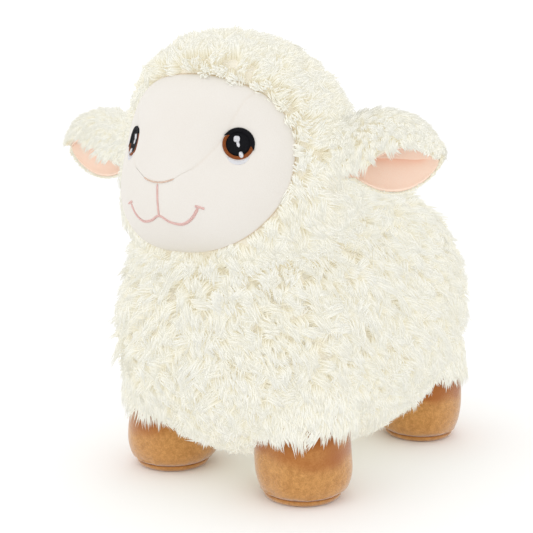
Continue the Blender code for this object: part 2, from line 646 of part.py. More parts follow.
def leg_pieces(materials):
    inset = LEG_WALL + SEAM_GAP
    floor = SOLE_THICKNESS + SEAM_GAP
    cover = leg_side(0.0) + leg_side(LEG_WALL)[::-1]
    filling = leg_side(inset)
    filling = [(0.0, floor), (SOLE_RADIUS - SEAM_GAP, floor)] + filling
    filling += [(0.0, HIP_HEIGHT + HIP_RADIUS - inset)]
    top = SOLE_SEAM_HEIGHT - SEAM_GAP
    sole = [(0.0, 0.0), (SOLE_RADIUS, 0.0), (SOLE_SEAM_RADIUS, top),
            (SOLE_SEAM_RADIUS - SOLE_THICKNESS, top), (SOLE_RADIUS, SOLE_THICKNESS), (0.0, SOLE_THICKNESS)]
    for word, place in leg_places().items():
        new_object("leg_cover_" + word, *lathe(cover, LEG_COLUMNS, place), materials["foot"])
        new_object("leg_stuffing_" + word, *lathe(filling, LEG_COLUMNS, place), materials["stuffing"])
        new_object("sole_" + word, *lathe(sole, LEG_COLUMNS, place), materials["foot"])


def leg_envelope(word, place):
    # The space that a leg sweeps as it swings: a ball at the hip and a slot with round ends below it.
    # The leg's flaring side, tilted by the swing, sets how far the slot reaches forward and back.
    turn = 2 * math.pi * np.arange(LEG_COLUMNS) / LEG_COLUMNS
    ball_radius = facet_room(HIP_RADIUS + SEAM_GAP, LEG_COLUMNS, 2 * SWEEP_ROWS)
    swing = math.radians(LEG_SWING_ANGLE)
    flare = math.atan2(LEG_RADIUS - HIP_RADIUS, HIP_HEIGHT - LEG_SWELL_HEIGHT)
    room = 1 / math.cos(math.pi / LEG_COLUMNS)
    sizes = []
    for z in (-OVERRUN / 2, HIP_HEIGHT / 2, HIP_HEIGHT):
        below = HIP_HEIGHT + HIP_RADIUS * math.sin(swing) - z
        reach = HIP_RADIUS * math.cos(swing) + below * math.tan(swing + flare) + SWIVEL_GAP
        across = ball_radius if z == HIP_HEIGHT else (LEG_RADIUS + SWIVEL_GAP) * room
        sizes.append((across, reach * room, z))
    for rise in np.arange(1, SWEEP_ROWS) * math.pi / 2 / SWEEP_ROWS:
        radius = ball_radius * math.cos(rise)
        sizes.append((radius, radius, HIP_HEIGHT + ball_radius * math.sin(rise)))
    rings = []
    for radius, reach, z in sizes:
        forward = radius * np.cos(turn) + (reach - radius) * np.sign(np.cos(turn))
        rings.append(np.stack([radius * np.sin(turn), -forward, np.full(LEG_COLUMNS, z)], 1))
    return new_object("leg_envelope_guide_" + word, *skin_over(np.array(rings) + np.array(place)))


def tail_root():
    rise = TAIL_RISE_SHARE * TRUNK_UPPER_HEIGHT
    back = TRUNK_HALF_LENGTH * (1 - TAIL_RISE_SHARE ** TRUNK_SIDE_POWER) ** (1 / TRUNK_SIDE_POWER)
    return TRUNK_CENTRE + np.array([0.0, back, rise])


def tail_form(name, inset, neck, material=None):
    # A drop that hangs back and down from its root; the neck lengthens it towards the root.
    hang = math.radians(TAIL_HANG_ANGLE)
    along = np.array([0.0, math.cos(hang), -math.sin(hang)])
    up = np.array([0.0, math.sin(hang), math.cos(hang)])
    centre = tail_root() + along * (TAIL_STAND_OFF + TAIL_HALF_LENGTH - (neck + inset) / 2)
    half_length = TAIL_HALF_LENGTH + (neck - inset) / 2
    grid = globe_grid(ROOT_COLUMNS, ROOT_ROWS)
    points = (centre + grid[..., :1] * (TAIL_HALF_WIDTH - inset) * np.array([1.0, 0.0, 0.0])
              + grid[..., 1:2] * (TAIL_HALF_THICKNESS - inset) * up + grid[..., 2:] * half_length * along)
    poles = centre - along * half_length, centre + along * half_length
    return new_object(name, *skin_over(points, *poles), material)


def tail_pieces(materials):
    inner = tail_form("tail_lining_guide", TAIL_FLEECE, TAIL_NECK_LENGTH + SEAM_GAP)
    clear = ball("tail_clear_guide", TAIL_ROOT_RADIUS + SEAM_GAP, tail_root(), ROOT_COLUMNS, ROOT_ROWS)
    subtract(tail_form("tail_cover", 0.0, 0.0, materials["fleece"]), inner, clear)
    stuffing = tail_form("tail_stuffing", TAIL_FLEECE + SEAM_GAP, TAIL_NECK_LENGTH, materials["stuffing"])
    root = ball("tail_root_guide", TAIL_ROOT_RADIUS, tail_root(), ROOT_COLUMNS, ROOT_ROWS)
    boolean(stuffing, root, "UNION")


def main():
    clear_scene()
    materials = {
        "fleece": make_material("cream_fleece", (0.86, 0.83, 0.74), 0.95),
        "face": make_material("face_plush", (0.93, 0.86, 0.79), 0.9),
        "lining": make_material("ear_lining", (0.90, 0.62, 0.50), 0.9),
        "foot": make_material("foot_plush", (0.55, 0.30, 0.12), 0.9),
        "stuffing": make_material("fibre_stuffing", (0.92, 0.92, 0.90), 1.0),
        "black_thread": make_material("black_thread", (0.01, 0.01, 0.012), 0.45),
        "brown_thread": make_material("brown_thread", (0.38, 0.11, 0.03), 0.5),
        "white_thread": make_material("white_thread", (0.92, 0.92, 0.93), 0.5),
        "pink_thread": make_material("pink_thread", (0.80, 0.35, 0.30), 0.6),
    }
    seat_radius = facet_room(HEAD_RADIUS + SWIVEL_GAP, SEAT_COLUMNS, SEAT_ROWS)
    seat = ball("head_seat_guide", seat_radius, HEAD_CENTRE, SEAT_COLUMNS, SEAT_ROWS)
    envelopes = [leg_envelope(word, place) for word, place in leg_places().items()]
    tail_room = facet_room(TAIL_ROOT_RADIUS + SEAM_GAP, ROOT_COLUMNS, ROOT_ROWS)
    tail_socket = ball("tail_socket_guide", tail_room, tail_root(), ROOT_COLUMNS, ROOT_ROWS)
    trunk_pieces(materials, seat, envelopes, tail_socket)
    neck_piece(materials)
    head_pieces(materials, ear_sockets())
    forms = thread_forms()
    eye_pieces(materials, forms)
    nose_and_mouth(materials, forms)
    ear_pieces(materials)
    leg_pieces(materials)
    tail_pieces(materials)


main()
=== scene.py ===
import json
import math

import bmesh
import bpy
import numpy as np
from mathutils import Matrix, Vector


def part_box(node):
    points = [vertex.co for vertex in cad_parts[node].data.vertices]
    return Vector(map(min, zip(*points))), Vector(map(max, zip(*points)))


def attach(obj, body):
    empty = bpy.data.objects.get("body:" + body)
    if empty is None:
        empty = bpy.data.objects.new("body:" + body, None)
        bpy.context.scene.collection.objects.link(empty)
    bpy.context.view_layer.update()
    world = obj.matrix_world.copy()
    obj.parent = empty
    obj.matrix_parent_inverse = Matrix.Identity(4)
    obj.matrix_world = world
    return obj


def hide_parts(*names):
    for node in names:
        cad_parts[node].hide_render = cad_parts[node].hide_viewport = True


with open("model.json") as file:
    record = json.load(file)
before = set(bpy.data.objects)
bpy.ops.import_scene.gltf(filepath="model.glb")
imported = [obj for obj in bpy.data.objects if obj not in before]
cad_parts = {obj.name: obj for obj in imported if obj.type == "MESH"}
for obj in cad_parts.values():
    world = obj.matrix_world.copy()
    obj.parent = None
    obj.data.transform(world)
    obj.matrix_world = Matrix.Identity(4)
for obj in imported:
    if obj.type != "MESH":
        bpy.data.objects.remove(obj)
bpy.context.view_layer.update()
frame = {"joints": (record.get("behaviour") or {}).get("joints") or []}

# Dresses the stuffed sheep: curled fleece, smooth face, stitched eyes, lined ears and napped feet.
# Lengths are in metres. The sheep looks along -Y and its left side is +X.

jointPlace = {joint["name"]: np.array(joint["pos_m"], float) for joint in frame["joints"]}


def boxOf(*nodes):
    # Lowest and highest corner of several CAD nodes together
    corners = np.array([[list(corner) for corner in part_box(node)] for node in nodes], float)
    return corners[:, 0].min(0), corners[:, 1].max(0)


def unitRows(vectors):
    # Each vector divided by its own length
    return vectors / np.maximum(np.linalg.norm(vectors, axis=-1, keepdims=True), 1e-12)


def smoothStep(values, start, end):
    # 0 before start, 1 after end, and an even S curve between
    t = np.clip((values - start) / (end - start), 0, 1)
    return t * t * (3 - 2 * t)


def plateau(values, start, full, fade, end):
    # 0 before start, 1 from full to fade, and 0 again after end
    return smoothStep(values, start, full) * (1 - smoothStep(values, fade, end))


def superReach(x, y, power):
    # How far a superellipse of size 1 lies in the direction of x and y
    return np.maximum(np.abs(x) ** power + np.abs(y) ** power, 1e-9) ** (-1 / power)


def waveNoise(points, size, seed, waves=14):
    # A sum of sine waves of about the given length in random directions, mostly within -1 to 1
    rng = np.random.default_rng(seed)
    ways = unitRows(rng.normal(size=(waves, 3)))
    turns = 2 * math.pi / size * rng.uniform(0.6, 1.5, waves)
    phases = rng.uniform(0, 2 * math.pi, waves)
    total = np.sin(points.reshape(-1, 3) @ (ways * turns[:, None]).T + phases).sum(-1)
    return total.reshape(points.shape[:-1]) / math.sqrt(waves)


def waveWays(points, size, seed):
    # Three such sums side by side, to turn directions with
    return np.stack([waveNoise(points, size, seed + k) for k in range(3)], 1)


sides = ((1, "Left"), (-1, "Right"))
legNames = ("front_left", "front_right", "rear_left", "rear_right")


def legFrame(name):
    # Hip joint and half width of a leg
    low, high = boxOf("leg_cover_" + name)
    return jointPlace["leg_swing_" + name], (high[1] - low[1]) / 2


# Meshes

def linkObject(name, data):
    # A new object in the scene
    made = bpy.data.objects.new(name, data)
    bpy.context.scene.collection.objects.link(made)
    return made


def addObject(name, mesh, material, body, nodes=()):
    # A piece that rides on a body, with its slot and the nodes it stands for
    mesh.materials.append(material)
    piece = linkObject(name, mesh)
    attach(piece, body)
    if nodes:
        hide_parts(*nodes)
    return piece


def closedMesh(name, points, faces, uv=None, marks=None):
    # A mesh with merged doubles and outward faces. uv and marks hold one row for each point.
    mesh = bpy.data.meshes.new(name)
    places = np.asarray(points, float).reshape(-1, 3).tolist()
    mesh.from_pydata(places, [], [list(map(int, corners)) for corners in faces])
    corner = np.empty(len(mesh.loops), np.int32)
    mesh.loops.foreach_get("vertex_index", corner)
    if uv is not None:
        layer = mesh.uv_layers.new(name="flat")
        layer.uv.foreach_set("vector", np.asarray(uv, np.float32).reshape(-1, 2)[corner].ravel())
    if marks is not None:
        layer = mesh.attributes.new("mark", "FLOAT", "POINT")
        layer.data.foreach_set("value", np.asarray(marks, np.float32).ravel())
    work = bmesh.new()
    work.from_mesh(mesh)
    bmesh.ops.remove_doubles(work, verts=work.verts, dist=1e-6)
    bmesh.ops.recalc_face_normals(work, faces=work.faces)
    work.to_mesh(mesh)
    work.free()
    mesh.shade_smooth()
    return mesh


def gridFaces(rows, columns, wrapColumns=False, wrapRows=False):
    # Four-sided faces between the points of a grid, which closes on itself where it wraps
    i, j = np.meshgrid(np.arange(rows if wrapRows else rows - 1),
                       np.arange(columns if wrapColumns else columns - 1), indexing="ij")
    k, m = (j + 1) % columns, (i + 1) % rows
    return np.stack([i * columns + j, i * columns + k, m * columns + k, m * columns + j], -1).reshape(-1, 4)


def turned(turn, rise):
    # Directions by their turn from straight ahead towards the left and their rise
    return np.stack([np.cos(rise) * np.sin(turn), -np.cos(rise) * np.cos(turn), np.sin(rise) + 0 * turn], -1)


def roundAngles(count):
    # Even angles round a full turn
    return 2 * math.pi * np.arange(count) / count


def globe(columns, rows):
    # Directions in rings from the bottom to the top with a pole at each end, and their faces
    rise = math.pi * (np.arange(1, rows) / rows - 0.5)
    ring = turned(roundAngles(columns)[None, :], rise[:, None])
    units = np.vstack([ring.reshape(-1, 3), [[0, 0, -1]], [[0, 0, 1]]])
    low, high, last = len(units) - 2, len(units) - 1, (rows - 2) * columns
    faces = gridFaces(rows - 1, columns, wrapColumns=True).tolist()
    for j in range(columns):
        k = (j + 1) % columns
        faces += [[k, j, low], [last + j, last + k, high]]
    return units, faces


def lathe(profile, columns, centre):
    # Turns (radius, height) points about the vertical through the centre, closed on the axis at both ends
    profile = np.asarray(profile, float)
    turn = roundAngles(columns)
    ring = np.stack([profile[:, :1] * np.sin(turn), -profile[:, :1] * np.cos(turn),
                     profile[:, 1:] + 0 * turn], -1)
    return ring + centre, gridFaces(len(profile), columns, wrapColumns=True)


def smoothPath(points, count):
    # A Catmull-Rom curve through the points, read at even steps of its length
    points = np.asarray(points, float)
    ends = np.vstack([2 * points[0] - points[1], points, 2 * points[-1] - points[-2]])
    t = np.linspace(0, 1, 24, endpoint=False)[:, None]
    runs = []
    for i in range(len(points) - 1):
        a, b, c, d = ends[i:i + 4]
        runs.append(0.5 * (2 * b + (c - a) * t + (2 * a - 5 * b + 4 * c - d) * t ** 2
                           + (3 * b - a - 3 * c + d) * t ** 3))
    path = np.vstack(runs + [points[-1:]])
    along = np.concatenate([[0], np.cumsum(np.linalg.norm(np.diff(path, axis=0), axis=1))])
    return np.stack([np.interp(np.linspace(0, along[-1], count), along, path[:, k])
                     for k in range(path.shape[1])], 1)


# Shader groups and materials

def newGroup(name, inputs, outputs):
    # A group with named inputs and outputs, and nothing in it yet
    group = bpy.data.node_groups.new(name, "ShaderNodeTree")
    for label, kind, value in inputs:
        socket = group.interface.new_socket(name=label, in_out="INPUT", socket_type=kind)
        socket.default_value = value
    for label, kind in outputs:
        group.interface.new_socket(name=label, in_out="OUTPUT", socket_type=kind)
    return group, group.nodes.new("NodeGroupInput"), group.nodes.new("NodeGroupOutput")


def feed(tree, socket, value):
    # Links the socket where the value is another node's output, or else sets it
    if hasattr(value, "is_linked"):
        tree.links.new(value, socket)
    else:
        socket.default_value = value


def noiseNode(tree, place, scale, detail, roughness=0.5):
    # Noise between 0 and 1 at a place
    node = tree.nodes.new("ShaderNodeTexNoise")
    for label, value in (("Vector", place), ("Scale", scale), ("Detail", detail), ("Roughness", roughness)):
        feed(tree, node.inputs[label], value)
    return node.outputs["Fac"]


def mathNode(tree, operation, *values):
    # One step of arithmetic on numbers or outputs
    node = tree.nodes.new("ShaderNodeMath")
    node.operation = operation
    for socket, value in zip(node.inputs, values):
        feed(tree, socket, value)
    return node.outputs[0]


def rangeNode(tree, value, source, target=(0.0, 1.0)):
    # Carries the source range over to the target range, held at its ends
    node = tree.nodes.new("ShaderNodeMapRange")
    labels = ("Value", "From Min", "From Max", "To Min", "To Max")
    for label, amount in zip(labels, (value, *source, *target)):
        feed(tree, node.inputs[label], amount)
    return node.outputs["Result"]


def mixNode(tree, share, first, second, blend="MIX"):
    # A share of the second colour over the first
    node = tree.nodes.new("ShaderNodeMix")
    node.data_type, node.blend_type = "RGBA", blend
    for socket, value in ((0, share), (6, first), (7, second)):
        feed(tree, node.inputs[socket], (*value, 1.0) if isinstance(value, tuple) else value)
    return node.outputs[2]


def scaledNode(tree, colour, share):
    # A colour times a share
    node = tree.nodes.new("ShaderNodeVectorMath")
    node.operation = "SCALE"
    feed(tree, node.inputs[0], colour)
    feed(tree, node.inputs["Scale"], share)
    return node.outputs[0]


def sharedSum(tree, first, second, shares):
    # Two outputs, each times its share, added up
    return mathNode(tree, "ADD", mathNode(tree, "MULTIPLY", first, shares[0]),
                    mathNode(tree, "MULTIPLY", second, shares[1]))


def objectPlace(tree):
    # Places on the piece itself, so that the pattern moves with it
    return tree.nodes.new("ShaderNodeTexCoord").outputs["Object"]


def makeNapGroup():
    # Short pile seen close: fine fibres over soft brushed patches, as a mask and a height
    group, inside, outside = newGroup(
        "shortNap", [("Place", "NodeSocketVector", (0, 0, 0)), ("Fibre Scale", "NodeSocketFloat", 900.0),
                     ("Patch Scale", "NodeSocketFloat", 60.0)],
        [("Fibre", "NodeSocketFloat"), ("Patch", "NodeSocketFloat"), ("Height", "NodeSocketFloat")])
    place = inside.outputs["Place"]
    fibre = noiseNode(group, place, inside.outputs["Fibre Scale"], 4.0, 0.65)
    patch = noiseNode(group, place, inside.outputs["Patch Scale"], 3.0)
    height = sharedSum(group, fibre, patch, (0.75, 0.25))
    for label, value in (("Fibre", fibre), ("Patch", patch), ("Height", height)):
        feed(group, outside.inputs[label], value)
    return group


def makeThreadGroup():
    # Satin stitches: rows of threads across the flat map, uneven in shade
    group, inside, outside = newGroup(
        "satinThread", [("Flat", "NodeSocketVector", (0, 0, 0)), ("Rows", "NodeSocketFloat", 2200.0)],
        [("Thread", "NodeSocketFloat"), ("Shade", "NodeSocketFloat")])
    wave = group.nodes.new("ShaderNodeTexWave")
    wave.bands_direction = "X"
    for label, value in (("Distortion", 1.5), ("Detail", 1.0), ("Vector", inside.outputs["Flat"]),
                         ("Scale", inside.outputs["Rows"])):
        feed(group, wave.inputs[label], value)
    feed(group, outside.inputs["Thread"], wave.outputs["Fac"])
    feed(group, outside.inputs["Shade"], noiseNode(group, inside.outputs["Flat"], 1500.0, 3.0, 0.6))
    return group


def newMaterial(name, roughness, sheen=0.0, sheenRoughness=0.5, gloss=0.25):
    # A material and its shader, with the values that are the same all over the surface
    material = bpy.data.materials.new(name)
    material.use_nodes = True
    shader = material.node_tree.nodes["Principled BSDF"]
    for label, value in (("Roughness", roughness), ("Specular IOR Level", gloss), ("Sheen Weight", sheen),
                         ("Sheen Roughness", sheenRoughness)):
        shader.inputs[label].default_value = value
    return material, material.node_tree, shader


def placeGroup(tree, group, **values):
    # One use of a group, with its own values
    node = tree.nodes.new("ShaderNodeGroup")
    node.node_tree = group
    for label, value in values.items():
        feed(tree, node.inputs[label.replace("_", " ")], value)
    return node


def addBump(tree, shader, height, strength, distance):
    bump = tree.nodes.new("ShaderNodeBump")
    for label, value in (("Strength", strength), ("Distance", distance), ("Height", height)):
        feed(tree, bump.inputs[label], value)
    feed(tree, shader.inputs["Normal"], bump.outputs["Normal"])


def readAttribute(tree, name):
    node = tree.nodes.new("ShaderNodeAttribute")
    node.attribute_name = name
    return node


fleeceLook = {
    "tip": (0.862, 0.853, 0.79),
    # The root is warmer and yellower than the tip: painted shade deep in the pile
    "root": (0.877, 0.832, 0.69),
    "warm": (0.857, 0.833, 0.735),
    "pale": (0.867, 0.862, 0.817),
    "patchScale": 38.0,
    "patchRange": (0.38, 0.66),
    "warmRange": (0.45, 1.0),
    "warmShare": 0.55,
    "rootRange": (0.05, 0.62),       # along a strand, from the root's painted shade to the tip's colour
    "strandShades": (0.965, 1.01),
    "ownShare": 0.52,                # light that a strand sends back itself, as a share of its colour
    "passedOn": 0.59,                # painted glow: emission standing in for the light that dense pale pile passes on from strand to strand, as a share of its colour
    "passedTint": (1.0, 0.99, 0.93),   # what the further bounces take out of the painted glow
}


def makeFleeceMaterial():
    # Curls: each strand runs from a warm root, painted shade deep in the pile, to a pale tip, and locks and
    # patches differ in shade
    look = fleeceLook
    material, tree, shader = newMaterial("creamFleece", 0.9)
    split = tree.nodes.new("ShaderNodeSeparateColor")
    feed(tree, split.inputs["Color"], readAttribute(tree, "strand").outputs["Color"])
    along, lock, hair = split.outputs
    patch = noiseNode(tree, objectPlace(tree), look["patchScale"], 3.0, 0.55)
    tip = mixNode(tree, rangeNode(tree, patch, look["patchRange"]), look["pale"], look["tip"])
    tip = mixNode(tree, rangeNode(tree, lock, look["warmRange"], (0.0, look["warmShare"])), tip, look["warm"])
    colour = mixNode(tree, rangeNode(tree, along, look["rootRange"]), look["root"], tip)
    tone = scaledNode(tree, colour, rangeNode(tree, hair, (0.0, 1.0), look["strandShades"]))
    feed(tree, shader.inputs["Base Color"], scaledNode(tree, tone, look["ownShare"]))
    # Painted glow: emission in the strand's own tint, in place of light passed on through the pile
    feed(tree, shader.inputs["Emission Color"], mixNode(tree, 1.0, tone, look["passedTint"], "MULTIPLY"))
    shader.inputs["Emission Strength"].default_value = look["passedOn"]
    return material


backingLook = {
    # Warm, yellowish colours: partly the lower pile's own, and partly painted shade of the gaps between locks
    "dark": (0.90, 0.83, 0.66),
    "light": (0.92, 0.87, 0.76),
    "fibre": (0.93, 0.90, 0.82),
    "fibreScale": 700.0,
    "patchScale": 50.0,
    "depth": 0.0008,
}


def makeBackingMaterial():
    # The dense lower pile and knitted back of the fleece, seen only between locks. Its warm, yellowish
    # colours also paint the shade in the gaps between locks.
    look = backingLook
    material, tree, shader = newMaterial("fleeceBacking", 0.95, 0.2)
    nap = placeGroup(tree, napGroup, Place=objectPlace(tree), Fibre_Scale=look["fibreScale"],
                     Patch_Scale=look["patchScale"])
    colour = mixNode(tree, nap.outputs["Patch"], look["dark"], look["light"])
    fibre = rangeNode(tree, nap.outputs["Fibre"], (0.3, 0.7), (0.0, 0.5))
    colour = mixNode(tree, fibre, colour, look["fibre"])
    feed(tree, shader.inputs["Base Color"], colour)
    addBump(tree, shader, nap.outputs["Height"], 0.8, look["depth"])
    return material


def makeNapMaterial(name, light, dark, seam, fibreScale, patchScale, depth, sheen):
    # Short plush: fibres speckle it, brushed patches shade it, and its mark mixes in the seam colour, which
    # paints shade and shadow
    material, tree, shader = newMaterial(name, 0.85, sheen, 0.45)
    nap = placeGroup(tree, napGroup, Place=objectPlace(tree), Fibre_Scale=fibreScale, Patch_Scale=patchScale)
    fibre = rangeNode(tree, nap.outputs["Fibre"], (0.34, 0.66))
    patch = rangeNode(tree, nap.outputs["Patch"], (0.32, 0.68))
    colour = mixNode(tree, sharedSum(tree, fibre, patch, (0.55, 0.45)), dark, light)
    # The mark paints shade: the seam colour comes in where it is high
    colour = mixNode(tree, readAttribute(tree, "mark").outputs["Fac"], colour, seam)
    feed(tree, shader.inputs["Base Color"], colour)
    addBump(tree, shader, nap.outputs["Height"], 0.6, depth)
    return material


def makeThreadMaterial(name, light, dark, roughness, gloss=0.25, rows=2200.0):
    # Satin stitches: threads across the flat map, with painted shade darker between them
    material, tree, shader = newMaterial(name, roughness, gloss=gloss)
    flat = tree.nodes.new("ShaderNodeUVMap")
    flat.uv_map = "flat"
    thread = placeGroup(tree, threadGroup, Flat=flat.outputs["UV"], Rows=rows)
    share = mathNode(tree, "MULTIPLY", thread.outputs["Thread"],
                     rangeNode(tree, thread.outputs["Shade"], (0.3, 0.7), (0.3, 1.0)))
    feed(tree, shader.inputs["Base Color"], mixNode(tree, share, dark, light))
    addBump(tree, shader, thread.outputs["Thread"], 0.7, 0.00025)
    return material


# Each seam colour is what a piece's mark mixes in. On the face it is painted shadow along the rim and a faint
# tan line along the seams. On the ear lining it is painted shade under the fold and at the root. On the foot
# it is painted shade under the fleece's hem, at the seam and round the sole.
napLooks = {
    "face": {"light": (0.765, 0.735, 0.69), "dark": (0.733, 0.693, 0.64), "seam": (0.58, 0.42, 0.25),
             "fibreScale": 1500.0, "patchScale": 30.0, "depth": 0.00015, "sheen": 0.1},
    "ear": {"light": (1.0, 0.81, 0.69), "dark": (0.98, 0.74, 0.61), "seam": (0.86, 0.50, 0.36),
            "fibreScale": 1300.0, "patchScale": 45.0, "depth": 0.0002, "sheen": 0.15},
    "foot": {"light": (0.685, 0.352, 0.11), "dark": (0.39, 0.165, 0.038), "seam": (0.36, 0.105, 0.015),
             "fibreScale": 1500.0, "patchScale": 420.0, "depth": 0.0006, "sheen": 0.8},
}
# dark: the painted shade between threads
threadLooks = {
    "black": {"light": (0.022, 0.022, 0.027), "dark": (0.002, 0.002, 0.003), "roughness": 0.6, "gloss": 0.1},
    "rust": {"light": (0.52, 0.15, 0.03), "dark": (0.22, 0.05, 0.01), "roughness": 0.5},
    "white": {"light": (0.96, 0.96, 0.98), "dark": (0.86, 0.86, 0.91), "roughness": 0.5},
    "pink": {"light": (1.0, 0.71, 0.66), "dark": (0.98, 0.62, 0.57), "roughness": 0.7},
    "peach": {"light": (0.96, 0.78, 0.66), "dark": (0.92, 0.66, 0.52), "roughness": 0.7},
}
napGroup = makeNapGroup()
threadGroup = makeThreadGroup()
finish = {"fleece": makeFleeceMaterial(), "backing": makeBackingMaterial()}
finish |= {key: makeNapMaterial(key + "Plush", **look) for key, look in napLooks.items()}
finish |= {key: makeThreadMaterial(key + "Thread", **look) for key, look in threadLooks.items()}
print("materials made:", len(finish))


# Trunk

trunk = {
    "lowerShare": 0.948,   # height below the widest level, as a share of the half width
    "upperShare": 0.9655,
    "planPower": 2.2,
    "sidePower": 2.25,
    "pileShare": 0.098,    # pile, as a share of the half width
    "baseShare": 0.55,     # how deep the dense lower pile lies, as a share of the pile
    "seatGap": 0.0008,     # room between the head and the seat under it
    "rimDepth": 0.005,     # how far into the head's seat the fleece goes on
    "rimWidth": 0.016,
    "rimStart": 0.002,
    "hemDepth": 0.004,     # how far inside the legs' tops the fleece starts
    "lumpSquares": 18,     # grid squares along each side of the cube that the lumps are laid out on
    "lumpDepth": 0.0038,
    "lumpFade": 0.012,
    "hipCalm": 0.0265,     # no lumps within these distances of the hips and the tail, and below this height
    "tailCalm": 0.007,
    "calmHeight": 0.024,
    "rippleHeight": 0.0005,
    "rippleSize": 0.012,
}
hem = {
    "around": 44,
    "rises": (0.0415, 0.046, 0.0505, 0.055, 0.0595),
    "stepIn": 0.0008,      # how far each ring lies inside the one below it
    "outerRise": 0.006,
    "unevenness": 0.0015,
    "unevenRing": 0.03,    # radius of the ring that the rings' unevenness is read on, and its length of wave
    "unevenSize": 0.02,
    "lieWaver": (0.25, 0.03),
    "gap": 0.0004,
    "depths": (0.80, 1.5),   # kept where the trunk's own surface is near, which is 1 on this scale
    "height": 0.0032,
    "reach": 1.0,
    "swingShare": 0.35,
}
trunkLow, trunkHigh = boxOf("trunk_cover_left", "trunk_cover_right", "belly_panel")
trunkHalf = (trunkHigh - trunkLow) / 2
trunkCentre = (trunkLow + trunkHigh) / 2
trunkCentre[2] = trunkLow[2] + trunk["lowerShare"] * trunkHalf[0]
trunkPile = trunk["pileShare"] * trunkHalf[0]
trunkBase = trunkPile * trunk["baseShare"]

head = {
    "pileShare": 0.149,
    "jowlSwell": 0.0075,
    "jowlDrop": 32.0,
    "jowlSpread": 24.0,
    "socketDepth": 0.0068,
    "socketSpread": 15.0,
    "socketInward": 3.0,    # how far the socket's middle lies nearer to the nose than the eye's
    "eyeSide": 40.4,
    "eyeRise": 11.2,
    "faceHalfWidth": 0.0565,
    "faceHalfHeight": 0.0463,
    "facePower": 2.3,
    "rimWidth": 0.013,
    "rimShares": (0.35, 0.85),
    "browShare": 0.4,
    "padStart": (0.0005, 0.006),    # past the face's seam, where the hood's lower pile rises
    "padTuck": 0.0018,
    "padTuckWidth": 0.004,
}
headCentre = jointPlace["head_nod"]
headRadius = boxOf("hood_left", "hood_right")[1][2] - headCentre[2]
skinRadius = headRadius * (1 - head["pileShare"])


def trunkGroove(units, crest):
    # How deep the groove between the trunk's lumps is, from 0 on a lump to 1. A cube's side, with equal
    # angles, carries a cosine wave each way. The lumps level out at the seat, hips and tail, and underneath.
    order = np.argsort(-np.abs(units), axis=-1)
    main = np.take_along_axis(units, order[..., :1], -1)
    others = np.take_along_axis(units, order[..., 1:], -1)
    count = (np.arctan(others / main) * 4 / math.pi + 1) / 2 * trunk["lumpSquares"]
    groove = 0.5 - 0.5 * np.cos(math.pi * count[..., 0]) * np.cos(math.pi * count[..., 1])
    calm = [(legFrame(name)[0] * (1, 1, 0), trunk["hipCalm"]) for name in legNames]
    calm += [(headCentre, headRadius), (jointPlace["tail_lift"], trunk["tailCalm"])]
    room = np.min([np.linalg.norm(crest - place, axis=-1) - radius for place, radius in calm], 0)
    return groove * np.clip(np.minimum(room, crest[..., 2] - trunk["calmHeight"]) / trunk["lumpFade"], 0, 1)


def trunkShape(units, inset):
    # The trunk's skin, sunk further by the depth of its grooves
    crest = trunkSkin(units, 0.0)
    return trunkSkin(units, inset + trunk["lumpDepth"] * trunkGroove(units, crest))


def trunkSkin(units, inset):
    # A superellipsoid: plan squared by planPower, side by sidePower, with its own height above and below
    level = np.maximum(np.hypot(units[..., 0], units[..., 1]), 1e-9)
    square = superReach(units[..., 0] / level, units[..., 1] / level, trunk["planPower"])
    side = superReach(level, units[..., 2], trunk["sidePower"])
    height = np.where(units[..., 2] > 0, trunk["upperShare"], trunk["lowerShare"]) * trunkHalf[0] - inset
    return np.stack([units[..., 0] * square * side * (trunkHalf[0] - inset),
                     units[..., 1] * square * side * (trunkHalf[1] - inset),
                     units[..., 2] * side * height], -1) + trunkCentre


def eyeWay(side, inward=0.0):
    # Direction from the head's middle to an eye
    turn, rise = math.radians(side * (head["eyeSide"] - inward)), math.radians(head["eyeRise"])
    return np.array([math.sin(turn) * math.cos(rise), -math.cos(turn) * math.cos(rise), math.sin(rise)])


def skinDepth(units):
    # Radius of the head's skin: a ball that swells into the jowl and sinks a little at each eye
    front = np.sqrt(np.clip(-units[..., 1] / np.maximum(np.hypot(units[..., 0], units[..., 1]), 1e-9), 0, 1))
    rise = np.degrees(np.arcsin(np.clip(units[..., 2], -1, 1)))
    jowl = np.exp(-((rise + head["jowlDrop"]) / head["jowlSpread"]) ** 2)
    radius = skinRadius + head["jowlSwell"] * front * jowl
    for side in (-1, 1):
        away = np.degrees(np.arccos(np.clip(units @ eyeWay(side, head["socketInward"]), -1, 1)))
        radius = radius - head["socketDepth"] * np.exp(-(away / head["socketSpread"]) ** 2)
    return radius


def skinShape(units, inset):
    # Places on the head's skin: its radius each way, less the inset
    return units * (skinDepth(units) - inset)[..., None] + headCentre


def frontUnits(angle, roll):
    # Directions by their angle from straight ahead and their roll about that line
    return np.stack([np.sin(angle) * np.cos(roll), -np.cos(angle), np.sin(angle) * np.sin(roll)], -1)


def skinAngle(reach, roll):
    # The angle from straight ahead at which the skin is this far off the line ahead
    angle = np.arcsin(np.minimum(reach / skinRadius, 0.99))
    for _ in range(4):
        angle = np.arcsin(np.minimum(reach / skinDepth(frontUnits(angle, roll)), 0.99))
    return angle


def seamAngle(roll):
    # Where the face's seam lies for each roll: a superellipse seen from the front, laid on the skin
    return skinAngle(superReach(np.cos(roll) / head["faceHalfWidth"], np.sin(roll) / head["faceHalfHeight"],
                                head["facePower"]), roll)


def pastSeam(units):
    # Distance along the skin from the face's seam, positive on the hood
    seam = seamAngle(np.arctan2(units[..., 2], units[..., 0]))
    return (np.arccos(np.clip(-units[..., 1], -1, 1)) - seam) * skinRadius


